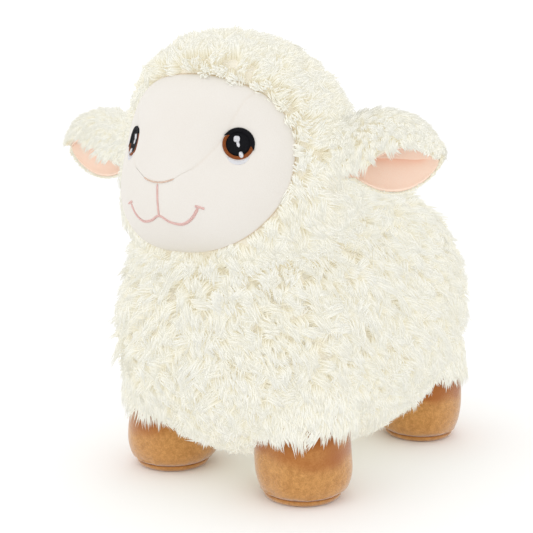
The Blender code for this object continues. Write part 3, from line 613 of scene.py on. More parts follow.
def hoodPile(units):
    # Pile height: low at the cheeks' seam, higher at the brow, and up to the head's radius past the rim
    low, high = head["rimShares"]
    rim = low + (high - low) * np.clip(units[..., 2] / head["browShare"], 0, 1)
    rise = rim + (1 - rim) * smoothStep(pastSeam(units), 0, head["rimWidth"])
    return (headRadius - skinDepth(units)) * rise


# Fleece

scattering = {"rows": 361, "turns": 241, "rowShare": 0.87, "shake": 0.2}


def formFrame(shape, units, inset):
    # Places and outward normals of a form, from small steps to two sides
    aside = unitRows(np.cross(units, [0.31, 0.62, 0.72]))
    other = np.cross(units, aside)
    step = 1e-4
    here = shape(units, inset)
    normal = np.cross(shape(unitRows(units + step * aside), inset) - here,
                      shape(unitRows(units + step * other), inset) - here)
    return here, unitRows(normal * np.sign((normal * units).sum(1))[:, None])


def scatter(shape, inset, spacing, seed):
    # Even places on a form: rows a little under one spacing apart, and even steps along each, all shaken
    rng = np.random.default_rng(seed)
    rises = np.linspace(-math.pi / 2, math.pi / 2, scattering["rows"])
    turns = np.linspace(0, 2 * math.pi, scattering["turns"])
    net = shape(turned(turns[None, :], rises[:, None]), inset)
    climb = np.append(0, np.cumsum(np.linalg.norm(np.diff(net, axis=0), axis=-1).mean(1)))
    shaken = scattering["shake"] * spacing
    places = []
    levels = np.arange(0.5 * spacing, climb[-1], scattering["rowShare"] * spacing)
    for rise in np.interp(levels, climb, rises):
        ring = shape(turned(turns, rise), inset)
        around = np.append(0, np.cumsum(np.linalg.norm(np.diff(ring, axis=0), axis=-1)))
        count = max(1, round(around[-1] / spacing))
        steps = (np.arange(count) + rng.random()) * around[-1] / count + rng.normal(0, shaken, count)
        shake = rng.normal(0, shaken * math.pi / climb[-1], count)
        places.append(turned(np.interp(steps % around[-1], around, turns), rise + shake))
    units = np.concatenate(places)
    return units, *formFrame(shape, units, inset)


def combed(normals, ways):
    # The ways laid flat on the surface
    return unitRows(ways - (ways * normals).sum(1, keepdims=True) * normals)


strand = {
    "steps": (0.0, 0.5, 1.0),
    "widthShares": (0.85, 0.95),     # at all steps but the tip, which is a point
    "bend": 0.62,                    # of a half turn: past a quarter turn the tip comes down again
    "leanPower": 1.6,
    "drawPower": 0.8,
    "lockHeights": (0.8, 1.08),      # ranges of chance, for whole locks and then for their strands
    "lockReaches": (0.7, 1.3),
    "heights": (0.82, 1.06),
    "reaches": (0.8, 1.2),
    "widths": (0.7, 1.25),
}


def growStrands(locks, look, seed):
    # Locks of strands. A strand starts near its lock's middle, rises by a sine of its length, leans over
    # along the lie by a power of it, waves sideways, and draws in towards the lock's tip. It is flat,
    # with a low ridge that faces outward.
    rng = np.random.default_rng(seed)
    count, many = len(locks["place"]), look["strands"]
    lie, normal = locks["lie"], locks["normal"]
    swing = np.radians(rng.normal(0, look["swing"], count) * locks.get("swing", 1.0))[:, None]
    across = np.cross(normal, lie)
    lie, across = lie * np.cos(swing) + across * np.sin(swing), across * np.cos(swing) - lie * np.sin(swing)
    lockHeight = locks["height"] * rng.uniform(*strand["lockHeights"], count)
    lockReach = look["reach"] * locks.get("reach", 1.0) * rng.uniform(*strand["lockReaches"], count)
    lockCurl = look["curl"] * rng.normal(0, 1, count)
    phase = rng.uniform(0, 2 * math.pi, count)
    shade = rng.random(count)

    far = look["radius"] * np.sqrt(rng.random((count, many)))
    turn = rng.uniform(0, 2 * math.pi, (count, many))
    offset = (lie[:, None] * (far * np.cos(turn))[..., None]
              + across[:, None] * (far * np.sin(turn))[..., None])
    stray = rng.normal(0, look["stray"], (count, many, 3))
    height = lockHeight[:, None] * rng.uniform(*strand["heights"], (count, many))
    reach = lockReach[:, None] * rng.uniform(*strand["reaches"], (count, many))
    steps = np.array(strand["steps"])
    t = steps[:, None, None]
    rise = height * np.sin(strand["bend"] * math.pi * t)
    lean = reach * t ** strand["leanPower"]
    wave = lockCurl[:, None] * np.sin(2 * math.pi * look["turns"] * t + phase[:, None]) * t
    apart = 1 - look["draw"] * t ** strand["drawPower"]
    path = (locks["place"][None, :, None] + offset[None] * apart[..., None]
            + rise[..., None] * normal[None, :, None] + lean[..., None] * lie[None, :, None]
            + wave[..., None] * across[None, :, None] + stray[None] * t[..., None])
    path = path.reshape(len(steps), -1, 3)

    along = unitRows(np.gradient(path, axis=0))
    first = np.repeat(across, many, axis=0)
    first = unitRows(first[None] - (first[None] * along).sum(-1, keepdims=True) * along)
    second = np.cross(along, first)
    width = look["width"] * rng.uniform(*strand["widths"], path.shape[1]) / 2
    widths = np.array(strand["widthShares"])[:, None] * width
    edges = np.stack([first, look["ridge"] * second, -first])[:, :-1].transpose(2, 1, 0, 3)
    points = path[:-1].transpose(1, 0, 2)[:, :, None] + edges * widths.T[..., None, None]
    points = np.concatenate([points.reshape(count * many, -1, 3), path[-1][:, None]], 1)
    tints = np.empty(points.shape[:2] + (4,), np.float32)
    tints[..., 0] = np.append(np.repeat(steps[:-1], 3), 1.0)
    tints[..., 1] = np.repeat(shade, many)[:, None]
    tints[..., 2] = rng.random(count * many)[:, None]
    tints[..., 3] = 1
    return points, tints


def strandFaces():
    # Two rings of three points and a tip: a cap at the root, a band and the point
    faces = [[2, 1, 0]]
    for j in range(3):
        k = (j + 1) % 3
        faces += [[j, k, k + 3], [j, k + 3, j + 3], [j + 3, k + 3, 6]]
    return np.array(faces)


def fleecePiece(name, body, nodes, locks, look, seed):
    # One piece of strands. A point's colour holds its step along the strand and two chances of shade.
    points, tints = growStrands(locks, look, seed)
    strands, corners = points.shape[:2]
    one = strandFaces()
    faces = (one[None] + corners * np.arange(strands)[:, None, None]).reshape(-1, 3).astype(np.int32)
    mesh = bpy.data.meshes.new(name)
    mesh.vertices.add(strands * corners)
    mesh.vertices.foreach_set("co", points.astype(np.float32).ravel())
    mesh.loops.add(faces.size)
    mesh.loops.foreach_set("vertex_index", faces.ravel())
    mesh.polygons.add(len(faces))
    mesh.polygons.foreach_set("loop_start", np.arange(len(faces), dtype=np.int32) * 3)
    mesh.update(calc_edges=True)
    layer = mesh.attributes.new("strand", "FLOAT_COLOR", "POINT")
    layer.data.foreach_set("color", tints.ravel())
    mesh.shade_smooth()
    print("fleece", name, "strands", strands, "triangles", len(faces))
    return addObject(name, mesh, finish["fleece"], body, nodes)


def pick(locks, chosen):
    # The chosen locks
    return {key: value[chosen] for key, value in locks.items()}


trunkLook = {"spacing": 0.0052, "strands": 21, "radius": 0.0040, "reach": 0.0088, "curl": 0.0015,
             "turns": 1.0, "draw": 0.42, "stray": 0.0008, "swing": 32.0, "width": 0.00106, "ridge": 0.6,
             "rooted": 0.0008}
hoodLook = {"spacing": 0.0050, "strands": 24, "radius": 0.0038, "reach": 0.0060, "curl": 0.0014,
            "turns": 1.0, "draw": 0.4, "stray": 0.0008, "swing": 34.0, "width": 0.0010, "ridge": 0.6,
            "rooted": 0.0008}
trunkCoat = {
    "lie": (0.0, 0.45, -1.0),
    "lieWaver": (0.3, 0.05),        # wavers are an amount and a length of wave
    "rimSpread": 1.2,
    "heightShare": 1.1,
    "heightWaver": (0.1, 0.03),
    "rimHeight": 0.6,
    "reachWaver": (0.2, 0.04),
    "rimReach": 0.35,
    "underReach": 0.75,
    "underLevels": (-0.6, 0.2),
}
hoodCoat = {
    "lie": (0.0, 1.0, 0.0),
    "lowLie": (0.0, -0.35, -0.8),
    "lowLevels": (-0.5, 0.4),
    "backLie": (0.0, 0.0, -1.0),
    "backLevels": (0.2, 0.9),
    "lieWaver": (0.16, 0.05),
    "height": 0.001,                # above the share that the pad leaves
    "heightWaver": (0.12, 0.03),
    "lowHeight": 0.6,
    "rimReach": 0.6,
    "rimWidth": 0.02,
    "lowReach": 0.6,
    "openBelow": -0.93,             # no locks in the middle of the head's seat
    "seamGap": 0.0006,
}


def hemLocks():
    # Rings of locks that hang round each leg where it leaves the body, higher on the outer side
    found = []
    for name in legNames:
        hip, half = legFrame(name)
        turn = roundAngles(hem["around"])
        away = np.stack([np.sin(turn), -np.cos(turn), 0 * turn], 1)
        outer = np.clip(away[:, 0] * np.sign(hip[0]), 0, 1)
        for k, rise in enumerate(hem["rises"]):
            place = hip * (1, 1, 0) + away * (half + hem["gap"] - k * hem["stepIn"])
            uneven = hem["unevenness"] * waveNoise(away * hem["unevenRing"], hem["unevenSize"], 17 + k)
            place[:, 2] = rise + hem["outerRise"] * outer + uneven
            found.append((place, away))
    place, normal = (np.concatenate(part) for part in zip(*found))
    level = (place - trunkCentre) / (trunkHalf[0], trunkHalf[1], trunk["lowerShare"] * trunkHalf[0])
    plan = np.abs(level[:, 0]) ** trunk["planPower"] + np.abs(level[:, 1]) ** trunk["planPower"]
    depth = plan ** (trunk["sidePower"] / trunk["planPower"]) + np.abs(level[:, 2]) ** trunk["sidePower"]
    near = (depth > hem["depths"][0]) & (depth < hem["depths"][1])
    place, normal = place[near], normal[near]
    waver = hem["lieWaver"][0] * waveNoise(place, hem["lieWaver"][1], 19)
    turn = waver[:, None] * np.cross(normal, [0, 0, 1.0])
    return {"place": place, "normal": normal, "lie": combed(normal, np.array([0.0, 0.0, -1.0]) + turn),
            **{key: np.full(len(place), hem[word]) for key, word in
               (("height", "height"), ("reach", "reach"), ("swing", "swingShare"))}}


def trunkLocks():
    # Locks all over the trunk, apart from the head's seat and the holes of the legs
    coat, seat = trunkCoat, headRadius + trunk["seatGap"]
    _, place, normal = scatter(trunkShape, trunkBase + trunkLook["rooted"], trunkLook["spacing"], 11)
    keep = np.linalg.norm(place - headCentre, axis=1) > headRadius - trunk["rimDepth"]
    for name in legNames:
        hip, half = legFrame(name)
        away = place - hip
        away[:, 2] = np.maximum(away[:, 2], 0)
        keep &= np.linalg.norm(away, axis=1) > half - trunk["hemDepth"]
    place, normal = place[keep], normal[keep]
    fromHead = place - headCentre
    far = np.linalg.norm(fromHead, axis=1)
    place = headCentre + fromHead * (np.maximum(far, seat) / far)[:, None]
    rim = 1 - smoothStep(far, headRadius + trunk["rimStart"], headRadius + trunk["rimWidth"])
    way = np.array(coat["lie"]) + coat["lieWaver"][0] * waveWays(place, coat["lieWaver"][1], 21)
    way += (coat["rimSpread"] * rim / far)[:, None] * fromHead
    tall = 1 + coat["heightWaver"][0] * waveNoise(place, coat["heightWaver"][1], 31)
    long = 1 + coat["reachWaver"][0] * waveNoise(place, coat["reachWaver"][1], 41)
    upper = smoothStep(normal[:, 2], *coat["underLevels"])
    return {"place": place, "normal": normal, "lie": combed(normal, way),
            "height": trunkBase * coat["heightShare"] * tall * (1 + coat["rimHeight"] * rim),
            "reach": (long * (1 - coat["rimReach"] * rim)
                      * (coat["underReach"] + (1 - coat["underReach"]) * upper)),
            "swing": np.ones(len(place))}


def makeTrunk():
    # A pad on the trunk's form at the depth of the lower pile, dished under the head, and the locks in
    # parts: those on the belly panel, and thirds of the length on each side
    units, faces = globe(132, 72)
    points = trunkShape(units, trunkBase)
    ripple = waveNoise(points, trunk["rippleSize"], 5)[:, None]
    points += unitRows(points - trunkCentre) * trunk["rippleHeight"] * ripple
    away = points - headCentre
    far = np.linalg.norm(away, axis=1, keepdims=True)
    points = headCentre + away * np.maximum(far, headRadius + trunk["seatGap"]) / far   # the head's seat
    mesh = closedMesh("trunkPadding", points, faces)
    addObject("trunkPadding", mesh, finish["backing"], "body", ["trunk_stuffing"])

    locks = trunkLocks()
    low, high = boxOf("belly_panel")
    middle, half = (low + high) / 2, (high - low) / 2
    onPanel = (locks["normal"][:, 2] < 0) & ((((locks["place"] - middle)[:, :2] / half[:2]) ** 2).sum(1) < 1)
    fleecePiece("bellyFleece", "body", ["belly_panel"], pick(locks, onPanel), trunkLook, 50)
    skirt = hemLocks()
    locks = {key: np.concatenate([value, skirt[key]]) for key, value in locks.items()}
    place, onPanel = locks["place"], np.append(onPanel, np.zeros(len(skirt["place"]), bool))
    bands = np.digitize(place[:, 1], np.quantile(place[~onPanel, 1], [1 / 3, 2 / 3]))
    for side, word in sides:
        for band, part in enumerate(("Front", "Middle", "Rear")):
            chosen = ~onPanel & (place[:, 0] * side > 0) & (bands == band)
            fleecePiece("trunkFleece" + word + part, "body", ["trunk_cover_" + word.lower()],
                        pick(locks, chosen), trunkLook, 51 + band + (side > 0) * 3)


def hoodShape(units, inset):
    # The dense lower pile of the hood: it rises from the skin just behind the face's seam
    past = pastSeam(units)
    rise = (1 - trunk["baseShare"]) * hoodPile(units) * smoothStep(past, *head["padStart"])
    return skinShape(units, inset + head["padTuck"] * (1 - smoothStep(past, 0, head["padTuckWidth"])) - rise)


def makeHood():
    # A pad on the hood's form, and locks combed back over it: low at the face's seam, and hanging
    # lower down and behind
    coat = hoodCoat
    units, faces = globe(120, 72)
    mesh = closedMesh("headPadding", hoodShape(units, 0.0), faces)
    addObject("headPadding", mesh, finish["backing"], "head", ["head_stuffing"])
    units, place, normal = scatter(hoodShape, hoodLook["rooted"], hoodLook["spacing"], 12)
    past = pastSeam(units)
    keep = (past > coat["seamGap"]) & (units[:, 2] > coat["openBelow"])
    units, place, normal, past = units[keep], place[keep], normal[keep], past[keep]
    low = smoothStep(-units[:, 2], *coat["lowLevels"])
    way = (np.array(coat["lie"]) + low[:, None] * np.array(coat["lowLie"])
           + smoothStep(units[:, 1], *coat["backLevels"])[:, None] * np.array(coat["backLie"])
           + coat["lieWaver"][0] * waveWays(place, coat["lieWaver"][1], 61))
    tall = 1 + coat["heightWaver"][0] * waveNoise(place, coat["heightWaver"][1], 71)
    near = coat["rimReach"] + (1 - coat["rimReach"]) * smoothStep(past, 0, coat["rimWidth"])
    locks = {"place": place, "normal": normal, "lie": combed(normal, way),
             "height": ((hoodPile(units) * trunk["baseShare"] + coat["height"]) * tall
                        * (1 + coat["lowHeight"] * low)),
             "reach": near + coat["lowReach"] * low}
    middle = np.median(place[:, 1])
    for side, word in sides:
        for back, part in enumerate(("Front", "Back")):
            chosen = (place[:, 0] * side > 0) & ((place[:, 1] >= middle) == bool(back))
            fleecePiece("hoodFleece" + word + part, "head", ["hood_" + word.lower()],
                        pick(locks, chosen), hoodLook, 81 + back + 2 * (side > 0))


makeTrunk()
makeHood()


# Face

face = {
    "noseHalfWidth": 0.0100,
    "noseDrop": 0.0087,
    "noseCornerDrop": 0.0066,
    "gussetShares": ((0.373, 0.01), (0.49, 0.26), (0.567, 0.50), (0.627, 0.70), (0.69, 0.84), (0.8, 1.3)),
    "cloth": 0.0015,
    "rimTuck": 0.0009,
    "rimWidth": 0.0011,
    # How dark the painted shadow along the rim is, where the hood's fleece meets the face
    "rimMark": 0.85,
    "seamTuck": 0.00025,
    "seamWidth": 0.0007,
    "seamMark": 0.08,
    "rows": 110,
    "foreheadColumns": 41,
    "cheekColumns": 44,
    "cheekPower": 1.3,           # columns lie closer towards the face's seam
    "chinStart": (0.5, 0.56),    # along the cheek's inner edge, where its seam stops showing
}


def flatAt(angle, roll):
    # A place on the flat map: the angle times the roll's direction
    return np.stack([angle * np.cos(roll), angle * np.sin(roll)], -1)


def toFlat(points):
    # Front view (x, z) places to the face's flat map: angle from straight ahead times the roll's direction
    points = np.asarray(points, float)
    roll = np.arctan2(points[..., 1], points[..., 0])
    return flatAt(skinAngle(np.maximum(np.linalg.norm(points, axis=-1), 1e-9), roll), roll)


def flatUnits(flat):
    # Directions from the head's middle to places on the flat map
    return frontUnits(np.linalg.norm(flat, axis=-1), np.arctan2(flat[..., 1], flat[..., 0]))


def noseLine(t):
    # The nose: a shallow arc between its corners, for t from -1 to 1
    width = face["noseHalfWidth"]
    return np.stack([t * width, (face["noseDrop"] - face["noseCornerDrop"]) * t ** 2 - face["noseDrop"]], -1)


def gussetLine(count):
    # The forehead panel's left seam, from the nose's corner up to the face's seam
    halfWidth, halfHeight = head["faceHalfWidth"], head["faceHalfHeight"]
    corner = [(face["noseHalfWidth"], -face["noseCornerDrop"])]
    path = smoothPath(corner + [(a * halfWidth, b * halfHeight) for a, b in face["gussetShares"]], 400)
    inside = superReach(path[:, 0] / halfWidth, path[:, 1] / halfHeight, head["facePower"]) > 1
    return smoothPath(path[inside][::8], count)


def seamFlat(roll):
    # The face's seam on the flat map
    return flatAt(seamAngle(roll), roll)


def chord(place, shares):
    # From a place's mirror image on the other cheek to the place itself
    mirror = place * (-1, 1)
    return mirror + (place - mirror) * shares[..., None]


def facePanel(name, node, flat, fromRim, fromSeam):
    # A panel of cloth over the skin: its edges tuck in, and it has a wall behind
    units = flatUnits(flat)
    rim = np.exp(-(fromRim / face["rimWidth"]) ** 2)
    seam = np.exp(-(fromSeam / face["seamWidth"]) ** 2)
    points = skinShape(units, 0.0) - units * (face["rimTuck"] * rim + face["seamTuck"] * seam)[..., None]
    points = points.reshape(-1, 3)
    # The mark paints shadow along the rim, under the edge of the hood's fleece, and a faint tan line along
    # the seams
    mesh = closedMesh(name, points, gridFaces(*flat.shape[:2]),
                      marks=np.maximum(face["rimMark"] * rim ** 1.5, face["seamMark"] * seam))
    outward = points.mean(0) - headCentre
    if np.dot(np.array(mesh.polygons[len(mesh.polygons) // 2].normal), outward) < 0:
        mesh.flip_normals()
    around = np.empty(len(mesh.loops), np.int32)
    mesh.loops.foreach_get("edge_index", around)
    border = np.bincount(around, minlength=len(mesh.edges)) == 1
    mesh.attributes.new("sharp_edge", "BOOLEAN", "EDGE").data.foreach_set("value", border)
    panel = addObject(name, mesh, finish["face"], "head", [node])
    wall = panel.modifiers.new("cloth", "SOLIDIFY")
    wall.thickness = face["cloth"]
    wall.offset = -1


def makeFace():
    # Panels as grids on the flat map. The forehead is ruled between its two seams, with the nose and
    # the brow blended in at its ends, and a cheek is ruled from its inner edge to the face's seam.
    count = face["rows"]
    gusset = toFlat(gussetLine(count))
    brow = math.atan2(gusset[-1, 1], gusset[-1, 0])
    v = np.linspace(0, 1, count)[:, None]
    u = np.linspace(-1, 1, face["foreheadColumns"])[None, :]
    shares = (u + 1) / 2
    low = toFlat(noseLine(u[0])) - chord(gusset[0], shares[0])
    high = seamFlat(math.pi - brow + (2 * brow - math.pi) * shares[0]) - chord(gusset[-1], shares[0])
    flat = chord(gusset[:, None], shares) + (1 - v)[..., None] * low[None] + v[..., None] * high[None]
    half = np.abs(gusset[:, 0])[:, None] * skinRadius
    length = np.linalg.norm(np.diff(gusset, axis=0), axis=1).sum() * skinRadius
    facePanel("faceForehead", "face_forehead", flat, (1 - v) * length + 0 * u,
              np.minimum((1 - np.abs(u)) * half, v * length))

    drops = np.linspace(face["noseDrop"], head["faceHalfHeight"], 30)
    middle = toFlat(np.stack([0 * drops, -drops], 1)[1:])
    inner = np.vstack([gusset[::-1], toFlat(noseLine(np.linspace(1, 0, 16)))[1:], middle])
    inner = smoothPath(inner[::4], count)
    outer = smoothPath(seamFlat(np.linspace(brow, -math.pi / 2, 40)), count)
    inner[-1], inner[0] = outer[-1], outer[0]
    t = (1 - (1 - np.linspace(0, 1, face["cheekColumns"])) ** face["cheekPower"])[None, :]
    gap = np.linalg.norm(outer - inner, axis=1)[:, None] * skinRadius
    # Below the nose the two cheeks meet without a seam that shows, so it counts as far off there
    chin = smoothStep(np.linspace(0, 1, count), *face["chinStart"])[:, None] * headRadius
    for side, word in sides:
        flat = (inner[:, None] + (outer - inner)[:, None] * t[..., None]) * (side, 1)
        facePanel("faceCheek" + word, "face_cheek_" + word.lower(), flat, (1 - t) * gap, t * gap + chin)


makeFace()
print("face made")


# Stitched eyes

eye = {
    "radius": 0.0077,
    "pupilShare": 0.785,
    "lashOuterShare": 1.03,
    "lashInnerShares": (0.9, 0.985),   # of the pupil where the lash is whole, of its outer edge past its ends
    "lashAngles": (-26.0, -10.0, 130.0, 147.0),
    "irisInnerShares": (0.98, 1.02),   # of the pupil: the iris's inner edge, and its outer one past its ends
    "irisAngles": (126.0, 156.0, 334.0, 352.0),
    "underShares": (1.05, 1.30),
    "underAngles": (228.0, 308.0),
    "height": 0.0009,
    "lashHeight": 0.9,                 # shares of the height
    "irisHeight": 0.8,
    "underHeight": 0.35,
    "glintHeight": 0.5,
    "glintLifts": (0.9, 0.9, 0.8),
    "sunk": 0.0006,                    # how far the stitches' undersides lie in the cloth
    # x, y, half width, half height, power and tilt of each glint
    "glints": ((-0.08, 0.31, 0.20, 0.20, 3.4, -6.0), (0.0, -0.02, 0.10, 0.21, 2.2, 14.0),
               (0.17, -0.69, 0.135, 0.21, 2.0, 12.0)),
    "blobShares": (0.001, 0.3, 0.6, 0.85, 1.0),
}


def onEye(side, u, v, height):
    # Places on the skin at (u outward, v up) from the eye's middle, raised by height
    look = eyeWay(side)
    outward = unitRows(np.cross([0.0, 0.0, 1.0], look) * side)
    up = np.cross(look, outward) * side
    depth = skinDepth(look[None])[0]
    ray = (look * np.sqrt(np.maximum(depth ** 2 - u ** 2 - v ** 2, 0))[..., None]
           + outward * u[..., None] + up * v[..., None])
    return skinShape(unitRows(ray), 0.0) + unitRows(ray) * height[..., None]


def domed(side, u, v, lift, rise):
    # Rows that run over a pad's top and back underneath, and their flat map
    back = u[:, ::-1], v[:, ::-1]
    top = onEye(side, u, v, lift + rise + 0 * u)
    under = onEye(side, *back, np.full(u.shape, lift - eye["sunk"]))
    flat = np.stack([np.concatenate([u, back[0]], 1), np.concatenate([v, back[1]], 1)], -1)
    return np.concatenate([top, under], 1), flat


def bandMesh(parts):
    # Joins bands: each is a closed loop of points carried along rows, with flat ends
    points, flats, faces, start = [], [], [], 0
    for place, flat, wrap in parts:
        rows, columns = place.shape[:2]
        faces += (gridFaces(rows, columns, wrapColumns=True, wrapRows=wrap) + start).tolist()
        if not wrap:
            faces += [list(range(start, start + columns)),
                      list(range(start + (rows - 1) * columns, start + rows * columns))]
        points.append(place.reshape(-1, 3))
        flats.append(flat.reshape(-1, 2))
        start += rows * columns
    return np.vstack(points), faces, np.vstack(flats)


def ringPad(side, start, end, inner, outer, height, radial=True):
    # A domed crescent between two radii, each a function of the angle
    angle = np.radians(np.linspace(start, end, 64))
    (innerU, innerV), (outerU, outerV) = (
        (radius(np.degrees(angle)) * np.cos(angle), radius(np.degrees(angle)) * np.sin(angle))
        for radius in (inner, outer))
    s = np.linspace(0, 1, 9)[None, :]
    u = innerU[:, None] * (1 - s) + outerU[:, None] * s
    v = innerV[:, None] * (1 - s) + outerV[:, None] * s
    place, flat = domed(side, u, v, 0.0, height * (1 - np.abs(2 * s - 1) ** 4.0) ** 0.5)
    if radial:
        turn = np.arctan2(flat[..., 1], flat[..., 0])
        flat = np.stack([turn * eye["radius"], np.hypot(flat[..., 0], flat[..., 1])], -1)
    return place, flat, False


def blobPad(side, blob, height, lift, scale):
    # A superellipse of stitches, turned by its angle
    x, y, halfWidth, halfHeight, power, tilt = blob
    turn = np.linspace(0, 2 * math.pi, 40, endpoint=False)
    reach = superReach(np.cos(turn), np.sin(turn), power)
    u, v = halfWidth * reach * np.cos(turn), halfHeight * reach * np.sin(turn)
    c, s = math.cos(math.radians(tilt)), math.sin(math.radians(tilt))
    u, v = (x + u * c - v * s) * scale, (y + u * s + v * c) * scale
    shares = np.array(eye["blobShares"])[None, :]
    u = x * scale + (u[:, None] - x * scale) * shares
    v = y * scale + (v[:, None] - y * scale) * shares
    return *domed(side, u, v, lift, height * (1 - shares ** 6) ** 0.5), True


def makeEyes():
    # Stitches as domed pads: a disc with its lash, the iris and the pale stitches under it as
    # crescents, and the glints
    radius, height = eye["radius"], eye["height"]
    pupil, lash = eye["pupilShare"] * radius, eye["lashOuterShare"] * radius
    lashWhole, lashEnd = pupil * eye["lashInnerShares"][0], lash * eye["lashInnerShares"][1]
    irisInner, irisEnd = (pupil * share for share in eye["irisInnerShares"])
    underLow, underHigh = eye["underShares"]
    underStart, underEnd = eye["underAngles"]

    def even(size):
        # The same radius at every angle
        return lambda angle: np.full(angle.shape, size)

    def lashInner(angle):
        # Under the pupil's edge along the lash, and out to the lash's own edge at its ends
        return lashWhole + (lashEnd - lashWhole) * (1 - plateau(angle, *eye["lashAngles"]))

    def irisOuter(angle):
        # The eye's rim along the iris, and back to the pupil at its ends
        return irisEnd + (radius - irisEnd) * plateau(angle, *eye["irisAngles"])

    def underOuter(angle):
        # A sine's bulge between its ends
        share = np.clip((angle - underStart) / (underEnd - underStart), 0.02, 0.98)
        return radius * (underLow + (underHigh - underLow) * np.sin(np.pi * share) ** 0.7)

    for side, word in sides:
        disc = (0, 0, eye["pupilShare"], eye["pupilShare"], 2.0, 0)
        glints = [blobPad(side, blob, height * eye["glintHeight"], height * lift, radius)
                  for blob, lift in zip(eye["glints"], eye["glintLifts"])]
        lashRing = ringPad(side, eye["lashAngles"][0], eye["lashAngles"][3], lashInner, even(lash),
                           height * eye["lashHeight"], radial=False)
        iris = ringPad(side, eye["irisAngles"][0], eye["irisAngles"][3], even(irisInner), irisOuter,
                       height * eye["irisHeight"])
        under = ringPad(side, underStart, underEnd, even(underLow * radius), underOuter,
                        height * eye["underHeight"])
        for name, parts, look, slot, node in (
                ("eyePupil", [blobPad(side, disc, height, 0.0, radius), lashRing],
                 "black", "black_thread", "eye_pupil_"),
                ("eyeIris", [iris], "rust", "brown_thread", "eye_iris_"),
                ("eyeUnder", [under], "white", "white_thread", "eye_under_"),
                ("eyeGlint", glints, "white", "white_thread", "eye_glint_")):
            points, faces, flat = bandMesh(parts)
            mesh = closedMesh(name, points, faces, uv=flat)
            addObject(name + word, mesh, finish[look], "head", [node + word.lower()])


makeEyes()
print("eyes made")


# Nose and mouth

mouth = {
    "noseWidth": 0.0008,
    "threadWidth": 0.0012,
    "endWidth": 0.0016,    # the smile grows from threadWidth to this at its ends
    "tick": ((0.0209, -0.0197), (0.0232, -0.0203), (0.0254, -0.0211)),
    "height": 0.0005,
    "drop": 0.0256,
    "halfWidth": 0.0222,
    "depth": 0.008,
    "smileShares": ((0.0, 0.0), (0.28, -0.35), (0.59, -0.46), (0.83, -0.09), (0.98, 0.48), (1.0, 0.75)),
    "lineGap": 0.0008,     # between the nose and the line below it
}


def stitchedLine(path, width, endWidth=None):
    # Thread laid on the face along a front-view path: a half round section, thin at both ends
    path = smoothPath(path, 90)
    heading = unitRows(np.gradient(path, axis=0))
    aside = np.stack([-heading[:, 1], heading[:, 0]], 1)
    share = np.linspace(0, 1, len(path))
    taper = np.minimum(1, np.minimum(share, 1 - share) * 14 + 0.35)
    wide = width + ((endWidth or width) - width) * np.abs(2 * share - 1) ** 1.5
    turn = np.linspace(0, 2 * math.pi, 10, endpoint=False)
    offset = np.cos(turn)[None, :] * (wide / 2 * taper)[:, None]
    units = flatUnits(toFlat(path[:, None] + aside[:, None] * offset[..., None]))
    lift = np.maximum(np.sin(turn), -0.5)[None, :] * mouth["height"] * taper[:, None]
    length = share * np.linalg.norm(np.diff(path, axis=0), axis=1).sum()
    flat = np.stack([length[:, None] + 0.6 * offset, offset], -1)
    return skinShape(units, 0.0) + units * lift[..., None], flat, False


def makeNoseAndMouth():
    # Threads along the nose's arc, the line below it, the smile and a tick across each of its ends
    width, drop, noseDrop = mouth["threadWidth"], mouth["drop"], face["noseDrop"]
    nose = stitchedLine(noseLine(np.linspace(-1, 1, 9)), mouth["noseWidth"])
    half = [(a * mouth["halfWidth"], b * mouth["depth"] - drop) for a, b in mouth["smileShares"]]
    smile = stitchedLine([(-a, b) for a, b in reversed(half[1:])] + half, width, mouth["endWidth"])
    ticks = [stitchedLine([(side * a, b) for a, b in mouth["tick"]], width) for side, _ in sides]
    heights = (-noseDrop - mouth["lineGap"], -0.5 * (noseDrop + drop), -drop)
    line = stitchedLine([(0.0, height) for height in heights], width)
    for name, parts, look, node in (("noseThread", [nose], "peach", "nose_stitch"),
                                    ("mouthThread", [smile, line, *ticks], "pink", "mouth_stitch")):
        points, faces, flat = bandMesh(parts)
        addObject(name, closedMesh(name, points, faces, uv=flat), finish[look], "head", [node])


makeNoseAndMouth()
print("nose and mouth made")


# Ears

ear = {
    "lengthShare": 0.82,         # shares of the distance between the root's joint and the tip
    "heightShare": 0.293,
    "depthShare": 0.1256,
    "standOffShare": 0.1134,
    "neckShare": 0.62,
    "bellyShare": 0.42,
    "tipPower": 0.7,
    "ends": (-0.17, 0.99),       # along the leaf, from where it starts in the hood
    "rows": 48,
    "rowPower": 1.4,             # rows lie closer towards the tip
    "shares": (36, 24),          # places round the section, and more of them at the fold
    "foldShares": (0.285, 0.385),
    "lowerLip": -80.0,
    "upperLip": 155.0,
    "rootCurl": 45.0,
    "base": 0.0028,              # dense lower pile on the back, over the least that is left
    "leastBase": 0.0005,
    "backGap": 0.0003,
    "cloth": 0.0013,
    "fold": (0.0, -0.0024, -0.0014),
    "foldAngles": (0.5, 5.0, 20.0, 90.0),
    "foldEnds": (0.0, 0.25, 0.65, 0.92),
    "foldShade": 0.75,
    "rootShade": 0.5,
}
earLook = {"strands": 18, "radius": 0.0028, "reach": 0.0065, "curl": 0.0009, "turns": 0.8, "draw": 0.7,
           "stray": 0.0005, "swing": 24.0, "width": 0.0009, "ridge": 0.6, "rooted": 0.0004}
